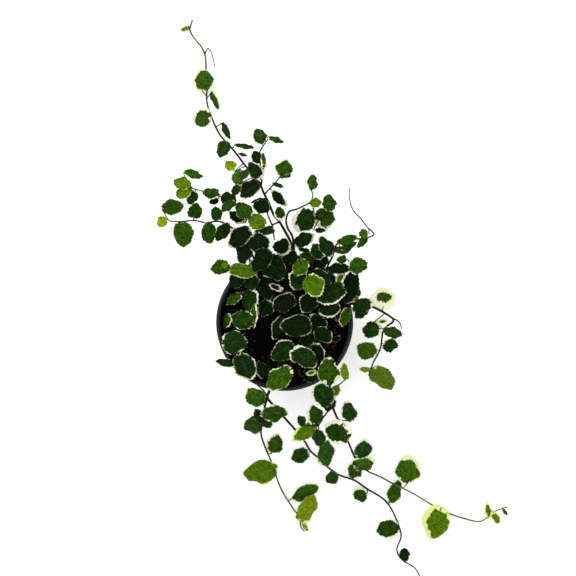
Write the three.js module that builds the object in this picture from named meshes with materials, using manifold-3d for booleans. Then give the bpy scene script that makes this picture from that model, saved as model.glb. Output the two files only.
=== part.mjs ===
// A variegated creeping fig in a round black nursery pot, in millimetres, +Z up.
// The origin is the middle of the pot's underside, and +Y runs towards the longest upper runner.
import * as THREE from 'three';
import { mergeVertices } from 'three/addons/utils/BufferGeometryUtils.js';
import Module from 'manifold-3d';

const wasm = await Module();
wasm.setup();

// The pot: a thin moulding with a banded rim, a foot ring and a raised ring of drainage holes.
const potHeight = 90;
const rimRadius = 53.2;
const bandRadius = 50.9;
const bandHeight = 13;
const shoulderRadius = 47.2;
const footRadius = 37.5;
const footRingWidth = 5;
const centrePadRadius = 12;
const raisedFloor = 2.2;
const potWall = 1.4;
const potSegments = 32;
const drainHoles = { count: 6, radius: 3.6, ringRadius: 22 };

// The soil: one filling with a lightly uneven top.
const soilBelowRim = 12;
const soilGap = 0.35;
const soilRelief = 0.7;

// The plant's own sizes.
const stemSides = 4;
const stemStep = 14;
const rootDepth = 13;
const rootFlare = 0.12;
const rootHoleGap = 0.4;
const petioleRadius = 0.45;
const bladeThickness = 0.7;
const bladeRatio = 0.86;
const narrowestRatio = 0.5;
const broadestRatio = 1;
const turnedRatio = 1.25;
const bladeDroop = 0.12;
const bladeWave = 0.08;
const edgeWave = 0.06;
const heelLobe = 0.09;
const heelBack = 1.3;
const heelDrop = 0.9;

// How far along each blade's outline has corners, for blades shorter than the length given first.
const bladeStations = [
  [10.5, [0.08, 0.45, 0.84]],
  [17, [0.06, 0.3, 0.62, 0.88]],
  [Infinity, [0.05, 0.24, 0.48, 0.72, 0.9]],
];

// A blade's points keep this far over or under other points that are within reach of them.
const clearGap = 1.9;
const clearReach = 2.6;
const samplePitch = 3.2;
const liftStep = 0.5;
const mostLifts = 80;
const groundGap = 1.2;
const rimGap = 1.3;
const soilTopGap = 1;

// A blade on a slanting stem takes this share of its slant, and one in the crown falls away outwards.
const slantShare = 0.85;
const steepestSlant = 0.9;
const crownSlant = 0.2;
const crownMiddle = { x: 8, y: 36 };

// Routes and blades are measured in the plane of the rim, as seen by an eye high above it, so a point
// that lies lower is further out than it looks.
const eye = { x: 2.6, y: 26.7, aboveRim: 900 };
const surface = -potHeight + 1;
const rootTop = -soilBelowRim + 2.4;

const leafGreen = new THREE.MeshStandardMaterial({ color: 0x2f5a16, roughness: 0.55, metalness: 0 });
const potBlack = new THREE.MeshStandardMaterial({ color: 0x101214, roughness: 0.45, metalness: 0 });
const soilBrown = new THREE.MeshStandardMaterial({ color: 0x15100d, roughness: 1, metalness: 0 });

// Each shoot is a stem standing in the soil, with its side shoots and blades. A stem is its radius at
// the root and the tip, and a route of [across, up, height over the rim]. A blade is [across and up of
// its base, across and up of its tip, width, height of its base]. A width under zero rolls the blade
// the other way, and a blade with no height rides just over its stem.
const shoots = [
  {
    name: 'runner_northwest',
    stems: [
      [1.1, 0.6, [
        [1, 24, rootTop], [1.5, 34, 3], [4, 46, 12], [5.7, 56, 16.5], [4.6, 62.5, 18], [1.2, 69, 18.5],
        [-4, 78, 18.5], [-8.5, 83.5, 18], [-12, 92, 15.5], [-16.5, 101, 10.5], [-20, 109.3, 4],
        [-28.5, 119, -8], [-36.5, 129.5, -21], [-43, 137.5, -32], [-50.5, 146, -45], [-57, 160, -62],
        [-60.3, 171, -74], [-60.2, 182, -83], [-60.9, 195, -88.2], [-61.5, 206, surface],
        [-64.5, 213.5, surface], [-70.2, 220.5, surface], [-73.4, 227, surface], [-71.5, 234.5, surface],
      ]],
      [0.7, 0.5, [[-4, 78, 18.5], [-7.3, 76.6, 18.5], [-9.5, 75, 18.5], [-8.7, 70, 17.5], [-8, 64, 15.5]]],
      [0.7, 0.5, [[-9.5, 75, 18.5], [-11.7, 80, 19.5], [-13.9, 85.5, 20]]],
      [0.8, 0.5, [
        [-18.4, 105.3, 7.5], [-17.5, 113, 8], [-19, 123, 6], [-19.5, 131, 4], [-16.5, 137, 2.5],
        [-12.5, 142.5, 1],
      ]],
      [0.7, 0.45, [[-15.4, 98.5, 12], [-12.5, 102.8, 13], [-7, 108.5, 13.5], [-3, 113.8, 13.5]]],
      [0.5, 0.4, [[-61.6, 208, surface], [-59.6, 212.4, -87.5], [-56.6, 208.6, -87], [-53.8, 197.5, -87.5]]],
    ],
    blades: [
      [-74.5, 228.5, -81, 227, 3.5],
      [-63.5, 180.5, -63.5, 199, 16],
      [-56.5, 178, -50.5, 163.5, 5],
      [-58.5, 161, -72.5, 157.5, 16.5],
      [-48, 154, -42, 141, 5],
      [-45.5, 139.5, -50, 127.5, 11],
      [-37.5, 137.5, -23.5, 134.5, 3.4],
      [-34.5, 130.5, -29, 128.6, 2.4],
      [-39.5, 119, -45.5, 126, 8.5],
      [-36, 118, -36, 105, 10],
      [-35.5, 106, -40, 98.5, -6.5, 0],
      [-21.5, 109, -35, 98, 14],
      [-18.5, 111.5, -27, 124.5, 11],
      [-15.5, 120.5, -17, 131.5, 4],
      [-19.5, 125, -24.5, 133.5, -8.5],
      [-18, 139.5, -21, 150.5, 10.5],
      [-12, 143, -0.5, 139.5, -5],
      [-2.5, 115.5, 2.5, 127, 13],
      [-1.5, 113.5, 1, 121.5, 11, 17],
      [-8.5, 107.5, -1, 105, 3],
      [-9, 101, 1.5, 90, 7, 16],
      [-12.5, 89, -24.5, 91, 11, 17],
      [-14.5, 96, -26.5, 93.5, 4],
      [-3.5, 80, -4, 90, 8, 21],
      [-9.5, 71.5, -24, 69, 8.5, 20],
      [-27.5, 117.5, -34.5, 110.5, 7],
    ],
  },
  {
    name: 'shoot_northeast',
    stems: [
      [1, 0.5, [
        [8.5, 27, rootTop], [8, 36, 0], [7.8, 47, 9], [7.3, 57, 14], [6, 66.5, 15.5], [2.2, 73.5, 14.5],
        [1.2, 80, 14], [3.6, 86, 14.5], [9, 87.7, 15], [14, 90, 15], [19.5, 93, 14.5], [21.8, 98, 14],
        [20.5, 103.5, 13],
      ]],
      [0.7, 0.5, [[19.5, 93, 14.5], [22, 89.2, 14], [23.2, 84, 13.5], [28, 80.5, 12.5], [34.5, 86, 12]]],
    ],
    blades: [
      [20.8, 104, 22.5, 115, 8.5],
      [20.5, 92.2, 28.5, 93.5, 7.5],
      [34.9, 87.2, 33.8, 99.3, 10.5],
      [19.8, 85, 8, 71.5, 17.5],
      [24.8, 81, 40, 80.5, 17.5],
      [24, 71.8, 31.5, 71, 3.6, 11],
      [9, 61.2, 23, 68.3, 10.5, 16],
    ],
  },
  {
    name: 'shoot_west_upper',
    stems: [
      [1, 0.5, [
        [-12, 34, rootTop], [-13.5, 42, 0], [-15.5, 52, 7], [-17, 62, 12], [-19.5, 72, 18], [-24, 81, 22],
        [-32, 88, 22.5], [-42, 93.5, 21], [-52, 98.5, 18], [-63, 101.6, 15], [-73.5, 104.5, 11],
      ]],
      [0.5, 0.4, [[-73.5, 104.5, 11], [-76.6, 110, 11.5], [-78.2, 115.5, 11.5]]],
    ],
    blades: [
      [-74, 106, -86, 110, 10],
      [-73.5, 104.5, -84, 97.5, 10.5],
      [-76.5, 116.5, -63.5, 113, -7],
      [-70, 101, -75, 92, 9],
      [-51.5, 99.5, -63.5, 101, 9],
      [-52, 95, -58.5, 92.5, -4.5, 13],
      [-40.5, 91, -47.5, 101, 11.5, 18],
      [-39.5, 93, -49, 86.8, 8],
      [-31.5, 78.5, -42.5, 86.3, 10, 21],
      [-27, 83, -37.5, 92, 12.5, 27],
      [-16.5, 75.5, -28.5, 82, 12.5, 29],
    ],
  },
  {
    name: 'shoot_west_lower',
    stems: [
      [1, 0.5, [
        [-20, 33, rootTop], [-21, 40, -2], [-24, 50, 5.5], [-29.5, 60, 9.5], [-36, 69, 12], [-44, 75.5, 13],
        [-52, 78.4, 13], [-61, 77.4, 12], [-70, 79, 10.5], [-79, 78.3, 8.5], [-88, 78.5, 5.5],
        [-91.2, 80.5, 4.5],
      ]],
    ],
    blades: [
      [-92.2, 80, -99, 75.5, 8.5],
      [-94, 88.5, -78, 90, 12],
      [-70.5, 81.5, -68, 92.5, 11.5],
      [-79, 76.5, -78, 58.5, 16.5],
      [-59, 76.5, -58.5, 61, 12.5],
      [-52.2, 80, -54, 90, 9],
      [-44, 75.5, -52.5, 63, -9],
    ],
  },
  {
    name: 'shoot_west_pair',
    stems: [
      [0.9, 0.5, [
        [-30, 15, rootTop], [-33.5, 20, -3], [-37, 28, 6], [-40, 36, 13], [-42.2, 41, 17.5],
        [-43.4, 43.4, 22],
      ]],
      [0.5, 0.4, [[-33.5, 20, -3], [-39, 12, -5], [-42.5, 6, -4]]],
    ],
    blades: [
      [-34.5, 21.5, -45.5, 14.5, 7.5, -1],
      [-43, 5.5, -47, -4.5, 7, -2.5],
      [-37, 38, -37.5, 26.5, 12, 13],
      [-44.2, 43.5, -58, 42, 11.5, 18],
      [-40.8, 41.5, -21.8, 37.5, 11, 20.5],
      [-44.4, 43.8, -49, 44.8, 4, 23.5],
    ],
  },
  {
    name: 'shoot_low_west',
    stems: [
      [0.9, 0.6, [[-35, -9, rootTop], [-38, -9, -6], [-43, -11, 1], [-46.5, -15, 3]]],
      [0.7, 0.4, [[-38, -9, -6], [-37.5, -17, -1], [-37, -25, 4], [-38.8, -31.5, 8.5]]],
    ],
    blades: [
      [-46.8, -16, -29, -14.5, 18, 5],
      [-34.5, -26, -25.5, -44.5, 17.5, 6],
      [-39.5, -33, -54, -29.5, 5.5, 6],
    ],
  },
  {
    name: 'crown_west',
    stems: [
      [1.1, 0.6, [
        [-16, 17, rootTop], [-18.5, 22, -1], [-22, 30, 5], [-25.5, 40, 10], [-27.5, 52, 15],
        [-28, 63.5, 17.5],
      ]],
      [0.7, 0.5, [[-18.5, 22, -1], [-22.5, 13, 1], [-25, 4, 3]]],
      [0.6, 0.4, [[-27.5, 52, 15], [-25.5, 59, 20], [-23.5, 66, 24]]],
    ],
    blades: [
      [-10, 20, -19, 26.5, 8, -2],
      [-11, 15.5, -19.5, 5.5, 12, 0],
      [-23, 13, -24, -4, 5, 2],
      [-25.5, 1, -41.5, 3.5, 15, 6],
      [-26, 36.5, -26, 25, 12, 12],
      [-25.5, 24.5, -29, 9, 13, 9],
      [-20, 47, -27, 47, 4, 14],
      [-30, 65, -33.5, 45, 14, 19],
      [-23, 66.5, -15.5, 53.5, 16, 26],
      [-28.5, 72, -44, 59.5, 15, 23],
      [-12, 54, -24, 40, 14, 6],
      [-20, 34, -10, 27.5, 9, 4],
    ],
  },
  {
    name: 'crown_centre',
    stems: [
      [1.1, 0.6, [
        [3, 12, rootTop], [0.5, 18, 0], [-3, 26, 11], [-7, 36, 19], [-11, 45, 23.5], [-13.5, 50, 25.5],
      ]],
      [0.6, 0.4, [[-11, 45, 23.5], [-5, 51.5, 21], [2.5, 56, 18]]],
      [0.6, 0.4, [[0.5, 18, 0], [-1.5, 10, 1], [-3, 3.5, 2]]],
    ],
    blades: [
      [-3.2, 3, -9, -13.5, 9, 3],
      [7, 18, -9.5, 12.5, 14, 5],
      [-2.2, 25.5, -12, 29.5, 5, 15],
      [3.5, 57, -9, 60, 13, 21.5],
      [0, 54.5, 9.5, 47, 10.5, 20],
      [-14, 50.5, -2, 33, 18, 28],
    ],
  },
  {
    name: 'crown_north',
    stems: [
      [1.1, 0.6, [[16, 25, rootTop], [15.5, 32, 6], [15.5, 41, 24], [16.3, 47.5, 36]]],
      [0.8, 0.5, [[15.5, 41, 24], [22, 47.5, 23], [28.5, 50, 22], [35, 51.8, 21]]],
    ],
    blades: [
      [32.5, 48.5, 21, 43, 9, 17],
      [18.5, 55.5, 10.5, 57, 3.5, 20],
      [35, 52.5, 28.5, 67, 11, 23],
      [28, 50.5, 22.5, 61, 10.5, 27],
      [22.5, 50.5, 12, 52.5, 8, 27],
      [13, 39.5, 7, 25.5, 14.5, 33],
      [16, 47.5, 7.5, 37, 11.5, 39],
    ],
  },
  {
    name: 'crown_top',
    stems: [
      [1.1, 0.6, [[25, 11, rootTop], [24, 15, 0], [22.5, 22, 12], [20.5, 29, 27], [19.3, 35, 39]]],
      [0.8, 0.5, [[22.5, 22, 12], [31, 26, 18], [40, 28, 22.5], [45, 27.2, 24.5]]],
      [0.6, 0.45, [[40, 28, 22.5], [43, 20, 15], [42.2, 12, 11]]],
    ],
    blades: [
      [21.5, 21, 14, 8, 14, 11],
      [41.8, 11.5, 26.5, 8, 11.5, 12.5],
      [45, 27, 25, 17, 16, 27],
      [22, 39, 36, 30, 11, 34],
      [19, 35, 27.5, 20.5, 16.5, 43],
    ],
  },
  {
    name: 'crown_east',
    stems: [
      [1, 0.5, [
        [35.5, 18, rootTop], [38.5, 27, 3], [43, 36, 10.5], [48, 41, 16], [51, 44, 20], [53.5, 46, 21.5],
      ]],
    ],
    blades: [
      [49, 42, 31.5, 41.5, 8.5, 18],
      [53.5, 38, 48.5, 14.5, 12, 15],
      [47, 49, 40.3, 49, 7, 22],
      [45.5, 38, 40, 30, 5.5, 19],
      [50.5, 43.5, 64.5, 44.8, 13, 22],
    ],
  },
  {
    name: 'twig_east',
    stems: [
      [0.9, 0.4, [
        [27, 27, rootTop], [30, 36, 0], [34, 45, 8], [37.3, 52, 13], [38.8, 58, 16], [42.5, 62.3, 17.5],
        [50, 64.8, 19], [58, 64.8, 20], [65, 66, 21], [69.2, 68.6, 21.5], [64, 74, 23], [58.5, 81, 24],
        [53, 87.2, 24], [50.3, 96, 23.5], [50.2, 104, 22.5],
      ]],
    ],
    blades: [
      [38, 57, 50.5, 55, 5.5, 17],
      [45, 57.5, 56.5, 62, 6, 19],
      [42, 62, 56.5, 66.5, 6.5, 20.5],
      [63.5, 68.5, 57.5, 68.5, 7.5],
      [63.5, 65, 56, 58.3, 5, 20],
    ],
  },
  {
    name: 'runner_east',
    stems: [
      [1.1, 0.6, [
        [37, 8.5, rootTop], [40, 11, -5], [45, 13.5, 2], [52, 14.5, 7.5], [60, 14.3, 9.5], [67, 12.5, 9],
        [76, 8.2, 6.5], [84, 2.8, 1], [83, -0.3, -3], [79, -3, -7], [76.2, -7, -12], [75.3, -13, -19],
        [74.2, -20, -26], [71.5, -26, -33], [68.7, -31, -40], [66.5, -37, -49], [65.3, -41, -55],
      ]],
      [0.6, 0.4, [[84, 2.8, 1], [87, 1.8, 0.5], [89.6, -1, 0], [90.6, -5, -1]]],
      [0.6, 0.4, [[52, 14.5, 7.5], [55.5, 16, 10], [57, 19.5, 12]]],
    ],
    blades: [
      [48.5, 10, 44.5, -3, 8],
      [51.5, 15.5, 57, 22.5, 6],
      [57, 20.5, 57, 28, 4.5],
      [66, 15.5, 52, 10.5, 11, 12],
      [62.5, 13, 55, 3.5, 10],
      [76.6, 11.5, 78, 27.5, 20],
      [71.5, 0.5, 80, 1.2, 3.5, 0],
      [73.8, -5, 60.5, -7, 13.5],
      [77.5, -5.5, 90, -10.5, 9],
      [76.8, -17, 88, -18.5, 10.5],
      [69.8, -24.5, 56, -19, 14.5],
      [65.5, -36.5, 58, -36, 4],
      [69.5, -36.5, 85, -53, 15.5],
    ],
  },
  {
    name: 'shoot_low_east',
    stems: [
      [0.9, 0.6, [[19, -5, rootTop], [19.8, -4, 0], [19.8, -3.5, 13]]],
      [0.7, 0.4, [[19.8, -4, 0], [22, -10, 1], [23, -16, 0]]],
    ],
    blades: [
      [22, -10, 11, -18.5, 9, -2],
      [23.2, -17, 29, -30, 9.5, 0],
      [25, -6, 36.5, -15, 12, 3],
      [20.5, 3.5, 33, -4.5, 12, 7],
      [19.2, -3, -3.5, -2, 17, 17],
    ],
  },
  {
    name: 'shoot_low_south',
    stems: [
      [0.9, 0.6, [[9, -15, rootTop], [8.5, -17.5, -2], [7.6, -22, 5], [5.8, -29, 8], [4, -35.5, 10]]],
    ],
    blades: [
      [4, -29.5, -5, -33.5, 8, 1],
      [6, -17.5, -10.5, -27.5, 15, 5],
      [7.2, -21, 24, -33.5, 15.5, 6],
      [3.2, -36.8, -14, -51, 15.5, 9],
    ],
  },
  {
    name: 'runner_south',
    stems: [
      [1.2, 0.5, [
        [-13, -25.5, rootTop], [-12.3, -30, -5], [-11.3, -36, 1.5], [-10.8, -44, 5], [-11.3, -51.5, 6],
        [-13.4, -58, 4], [-9.5, -63.3, 0], [-3.5, -70, -7], [2.7, -77, -16], [7.2, -82, -23],
        [14.7, -91, -36], [20, -99.5, -49], [25.5, -104.5, -58], [32, -111, -68], [42, -118, -80],
        [54, -122.3, -87.5], [64, -129, surface], [76, -136.5, surface], [83, -145, surface],
        [88.3, -157, surface], [90.3, -166, surface], [86.9, -176, surface], [91, -184, surface],
        [100.5, -190, surface], [105, -197, surface],
      ]],
      [0.9, 0.5, [
        [-13.4, -58, 4], [-15.3, -65, -3], [-17.2, -75, -14], [-18.3, -86, -28], [-15, -97, -46],
        [-11.5, -105, -59], [-8.5, -113, -71], [-5.8, -121.5, -82], [-2.5, -129.5, -88],
        [1.5, -136.5, surface], [6, -143.5, surface], [11.5, -151.5, surface], [12.4, -158.5, surface],
        [15.5, -162, surface],
      ]],
      [0.6, 0.45, [[-13.4, -58, 4], [-15.7, -53.7, 6], [-20, -49.3, 7], [-25.3, -45.5, 8]]],
    ],
    blades: [
      [-16, -42, -19.5, -30, 9, -3],
      [-18, -63, -28, -51, 15.5],
      [-16.5, -71, 2.7, -70, 14, -4],
      [-16.5, -77.5, -22.5, -66.8, 8.5],
      [-15.5, -76.5, -10.5, -81.5, 7.5, -14],
      [-18.5, -80.5, -32.5, -81, 15],
      [-9, -100.8, -6, -86, 13],
      [-7.5, -114, -31.8, -116.5, 19],
      [8, -135.3, 26.3, -126.5, 13],
      [12.8, -152, 23.5, -133.5, 14.5],
      [14.2, -155.5, 17.8, -161.5, 3.4],
      [18.3, -101.5, 5, -105, 13.5],
      [30.8, -110, 33.5, -90.5, 14],
      [40.5, -119.7, 31.5, -122.5, 11],
      [54, -119.5, 55.5, -108, 11.5],
      [62.3, -132.3, 52.5, -134.5, 11.5],
      [82.5, -138, 88.5, -122.5, 11.8],
      [87, -158.8, 71, -163, 14.8],
      [93.6, -184, 92.3, -175.3, 8],
    ],
  },
  {
    name: 'runner_southeast',
    stems: [
      [1.05, 0.5, [
        [27.5, -25.5, rootTop], [29, -30, -4], [31.5, -36, 2.5], [33.5, -43, 5.5], [35, -50, 5.5],
        [35.8, -58, 3], [37.4, -66, -2], [40, -72.5, -8], [43.5, -80, -17], [49, -92, -33],
        [54, -103.7, -50], [58, -109.8, -60], [64.5, -115.3, -68], [75, -120, -74],
        [84.5, -125.3, -77.5], [93.3, -129.3, -82.5], [103, -134.5, -87], [113.5, -141, surface],
        [127, -147.8, surface], [140, -152.2, surface], [151, -154.3, surface], [158, -150.3, -87.5],
        [163, -146.2, -86.5], [172.8, -143, -86.5],
      ]],
      [0.7, 0.45, [[37.4, -66, -2], [33.5, -69, -5], [29.7, -74, -9], [26.4, -80, -14], [26.6, -84, -18]]],
      [0.6, 0.4, [[35, -51, 5], [39.5, -49.7, 5], [44.5, -46.6, 4], [47, -43.8, 3.5]]],
    ],
    blades: [
      [24.5, -42.2, 15, -44, 6, -3],
      [24, -38, 16.5, -39.8, 4, 0],
      [34, -47, 34, -27, 17, 8],
      [47, -43, 46, -31.5, 6.4],
      [38.2, -57.5, 41, -48, 7.5],
      [34.3, -62, 22.5, -48, 17, 8],
      [33.8, -62, 32.8, -69.3, 6.5, -4],
      [37, -59.5, 38.6, -66, -4],
      [51.5, -75.2, 47, -61, 12, -8],
      [49, -88, 31.5, -79, 18, -13],
      [60, -103.8, 61, -89, 14],
      [54.5, -109.5, 70.8, -109.5, 14],
      [26, -78.5, 20.5, -64, 12.5],
      [25.8, -84, 27.3, -98, 10.5],
      [22.8, -80.3, 5.8, -92.3, 11],
      [14.7, -79, 11, -72.3, 6.5, -10],
      [96.4, -122.3, 95.5, -103, 20],
      [120.3, -144, 112, -167.5, 20],
      [157.5, -150, 156.5, -139.3, 5.5],
      [160.5, -146.5, 165.5, -156, 6, -84],
      [169.5, -145, 172.5, -149.5, 2.4],
    ],
  },
];

// Where a point measured in the plane of the rim lies when it is this high over the rim.
function fromAbove(across, up, height) {
  const spread = (eye.aboveRim - height) / eye.aboveRim;
  const x = eye.x + (across - eye.x) * spread;
  const y = eye.y + (up - eye.y) * spread;
  return new THREE.Vector3(x, y, potHeight + height);
}

function solidOf(geometry) {
  const bare = geometry.clone();
  bare.deleteAttribute('normal');
  bare.deleteAttribute('uv');
  const merged = mergeVertices(bare, 1e-4);
  const vertProperties = new Float32Array(merged.attributes.position.array);
  const triVerts = new Uint32Array(merged.index.array);
  return new wasm.Manifold(new wasm.Mesh({ numProp: 3, vertProperties, triVerts }));
}

function geometryOf(solid) {
  const mesh = solid.getMesh();
  const geometry = new THREE.BufferGeometry();
  geometry.setAttribute('position', new THREE.BufferAttribute(mesh.vertProperties, 3));
  geometry.setIndex(new THREE.BufferAttribute(mesh.triVerts, 1));
  geometry.computeVertexNormals();
  return geometry;
}

function join(solids) {
  return solids.reduce((whole, solid) => whole.add(solid));
}

// A round section swept along a curve, thinning evenly from its start to its end.
function taperedTube(curve, steps, startRadius, endRadius) {
  const corners = [];
  for (let i = 0; i < stemSides; i += 1) {
    const angle = (i / stemSides) * 2 * Math.PI;
    corners.push(new THREE.Vector2(startRadius * Math.cos(angle), startRadius * Math.sin(angle)));
  }
  const section = new THREE.Shape(corners);
  const geometry = new THREE.ExtrudeGeometry(section, { steps, extrudePath: curve, bevelEnabled: false });
  const middles = curve.getSpacedPoints(steps);
  const position = geometry.attributes.position;
  const point = new THREE.Vector3();
  for (let i = 0; i < position.count; i += 1) {
    point.fromBufferAttribute(position, i);
    let nearest = 0;
    middles.forEach((middle, step) => {
      if (middle.distanceTo(point) < middles[nearest].distanceTo(point)) {
        nearest = step;
      }
    });
    const thinning = THREE.MathUtils.lerp(1, endRadius / startRadius, nearest / steps);
    point.sub(middles[nearest]).multiplyScalar(thinning).add(middles[nearest]);
    position.setXYZ(i, point.x, point.y, point.z);
  }
  return geometry;
}

function stemCurve(route) {
  const points = route.map(([across, up, height]) => fromAbove(across, up, height));
  return new THREE.CatmullRomCurve3(points, false, 'catmullrom', 0.5);
}

// A stem's middle line as the straight steps that its solid has, with points close together on them,
// but for the very end.
function middleLine(curve, steps) {
  const corners = curve.getSpacedPoints(steps);
  const points = [];
  for (let step = 0; step < steps; step += 1) {
    for (let part = 0; part < 12; part += 1) {
      points.push(corners[step].clone().lerp(corners[step + 1], part / 12));
    }
  }
  return points;
}

// The stems of one shoot, each with its middle line. A side shoot starts inside the stem it grows from.
function growStems(stems) {
  const grown = [];
  stems.forEach(([startRadius, endRadius, route], i) => {
    const curve = stemCurve(route);
    if (i > 0) {
      curve.points[0] = nearestPoint(grown.flatMap((stem) => stem.line), curve.points[0], true);
      curve.updateArcLengths();
    }
    const steps = Math.ceil(curve.getLength() / stemStep);
    const tube = taperedTube(curve, steps, startRadius, endRadius);
    grown.push({ line: middleLine(curve, steps), solid: solidOf(tube) });
  });
  return grown;
}

// The straight foot of a stem, which stands in the soil.
function rootSolid(top, radius) {
  const bottom = top.clone();
  bottom.z = potHeight - soilBelowRim - rootDepth;
  const end = top.clone();
  end.z += 1;
  return solidOf(taperedTube(new THREE.LineCurve3(bottom, end), 1, radius, radius));
}

// A blade's width as a share of its widest, from its base at 0 to its tip at 1: broad and round.
function outline(along) {
  return Math.pow(Math.sin(Math.PI * Math.pow(along, 0.75)), 0.6);
}

// The true width to length of a blade that is seen with this one: a narrow blade is partly turned away.
function naturalRatio(seenRatio) {
  if (seenRatio > bladeRatio) {
    return Math.min(seenRatio, broadestRatio);
  }
  return THREE.MathUtils.clamp(turnedRatio * seenRatio, narrowestRatio, bladeRatio);
}

// A blade's place and axes. It droops or turns by as much as its measured length and width fall short of
// a flat blade's, and takes the slant given as its fall or rise for each millimetre along X and along Y.
function bladeFrame([baseAcross, baseUp, tipAcross, tipUp, signedWidth], height, slant) {
  const base = fromAbove(baseAcross, baseUp, height);
  const tip = fromAbove(tipAcross, tipUp, height);
  const width = Math.abs(signedWidth) * (eye.aboveRim - height) / eye.aboveRim;
  const seen = base.distanceTo(tip);
  const ratio = naturalRatio(width / seen);
  const length = Math.max(seen * (1 + bladeDroop * bladeDroop / 2), width / ratio);
  tip.z -= Math.sqrt(length * length - seen * seen);
  const forward = tip.sub(base).normalize();
  const roll = Math.sign(signedWidth) * Math.acos(Math.min(1, width / (length * ratio)));
  const sideways = new THREE.Vector3(-forward.y, forward.x, 0).normalize().applyAxisAngle(forward, roll);
  forward.z += forward.x * slant.x + forward.y * slant.y;
  sideways.z += sideways.x * slant.x + sideways.y * slant.y;
  const upward = forward.clone().cross(sideways).normalize();
  return { base, length, halfWidth: length * ratio / 2, forward, sideways, upward };
}

// A point on the blade's middle surface, along from its base at 0 to its tip at 1, and across from -1 to 1.
function onBlade({ base, length, halfWidth, forward, sideways }, along, across) {
  return base.clone()
    .addScaledVector(forward, along * length)
    .addScaledVector(sideways, across * halfWidth * outline(along));
}

// Points all over the blade, for telling what it would touch.
function samplesOf(frame) {
  const rows = Math.ceil(frame.length / samplePitch);
  const columns = Math.ceil(frame.halfWidth / samplePitch);
  const points = [];
  for (let row = 0; row <= rows; row += 1) {
    for (let column = -columns; column <= columns; column += 1) {
      points.push(onBlade(frame, row / rows, column / columns));
    }
  }
  return points;
}

// The lowest that a leaf may come over a place: the surface, the soil or the pot's rim.
function floorAt(x, y) {
  const out = Math.hypot(x, y);
  if (out > rimRadius + 1) {
    return groundGap;
  }
  const overSoil = out < bandRadius - potWall - 1;
  return overSoil ? potHeight - soilBelowRim + soilRelief + soilTopGap : potHeight + rimGap;
}

// Whether points moved up by this much are clear of the floor and of everything laid so far.
function isClear(points, shift, laid) {
  return points.every((point) => {
    const z = point.z + shift;
    return z > floorAt(point.x, point.y) && laid.every((other) => Math.abs(z - other.z) > clearGap
      || Math.abs(point.x - other.x) > clearReach
      || Math.hypot(point.x - other.x, point.y - other.y) > clearReach);
  });
}

// The smallest move up or down that makes a blade clear.
function shiftToClear(points, laid) {
  for (let step = 0; step < mostLifts; step += 1) {
    for (const shift of [step * liftStep, -step * liftStep]) {
      if (isClear(points, shift, laid)) {
        return shift;
      }
    }
  }
  return 0;
}

// A leaf as one thin solid: a three-sided stalk from inside its stem, and a waved blade, whose two faces
// are split into triangles alike.
function leafSolid({ frame, from, seed }) {
  const { base, length, forward, sideways, upward } = frame;
  const heel = base.clone().addScaledVector(forward, -heelBack).addScaledVector(upward, -heelDrop);
  const inward = from.clone().sub(heel).normalize();
  const foot = from.clone().addScaledVector(inward, 0.2);
  const half = upward.clone().multiplyScalar(bladeThickness / 2);
  const stations = bladeStations.find(([longest]) => length < longest)[1];
  const rows = stations.map((along, station) => [1, -1].map((side) => {
    const wave = Math.sin(seed * 2.4 + station * 2.1 + side * 1.3);
    const lobe = station === 0 ? heelLobe : 0;
    return base.clone()
      .addScaledVector(forward, (along - lobe) * length)
      .addScaledVector(sideways, side * frame.halfWidth * outline(along) * (1 + edgeWave * wave))
      .addScaledVector(upward, frame.halfWidth * bladeWave * wave);
  }));
  const blade = [...rows.flat(), onBlade(frame, 1, 0)];
  const neck = [
    base.clone().addScaledVector(sideways, petioleRadius).add(half),
    base.clone().addScaledVector(sideways, -petioleRadius).add(half),
    base.clone().sub(half),
  ];
  const points = [
    ...stalkRing(foot, inward.clone().negate(), frame),
    ...stalkRing(heel, base.clone().sub(foot).normalize(), frame),
    ...neck,
    ...blade.map((point) => point.clone().add(half)),
    ...blade.map((point) => point.clone().sub(half)),
  ];
  const index = [1, 0, 2];
  [0, 3].forEach((start) => {
    [[0, 1], [1, 2], [2, 0]].forEach(([a, b]) => {
      index.push(start + a, start + b, start + b + 3, start + a, start + b + 3, start + a + 3);
    });
  });
  const [neckLeft, neckRight, neckUnder] = [6, 7, 8];
  const left = (row) => 9 + row * 2;
  const right = (row) => 10 + row * 2;
  const last = rows.length - 1;
  const tip = left(last + 1);
  const under = blade.length;
  const faces = [[right(0), left(0), neckLeft]];
  for (let row = 0; row < last; row += 1) {
    faces.push([left(row), right(row), right(row + 1)], [left(row), right(row + 1), left(row + 1)]);
  }
  faces.slice(1).concat([[left(last), right(last), tip]]).forEach(([a, b, c]) => {
    index.push(a, b, c, a + under, c + under, b + under);
  });
  index.push(neckLeft, neckRight, right(0), ...faces[0]);
  index.push(neckUnder, left(0) + under, right(0) + under);
  const edge = [...rows.map((_, row) => right(row)), tip, ...rows.map((_, row) => left(last - row))];
  edge.slice(1).forEach((to, i) => {
    index.push(edge[i], edge[i] + under, to + under, edge[i], to + under, to);
  });
  index.push(neckRight, neckUnder, right(0) + under, neckRight, right(0) + under, right(0));
  index.push(left(0), left(0) + under, neckUnder, left(0), neckUnder, neckLeft);
  const geometry = new THREE.BufferGeometry();
  const corners = points.flatMap((point) => point.toArray());
  geometry.setAttribute('position', new THREE.Float32BufferAttribute(corners, 3));
  geometry.setIndex(index);
  return solidOf(geometry);
}

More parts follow.
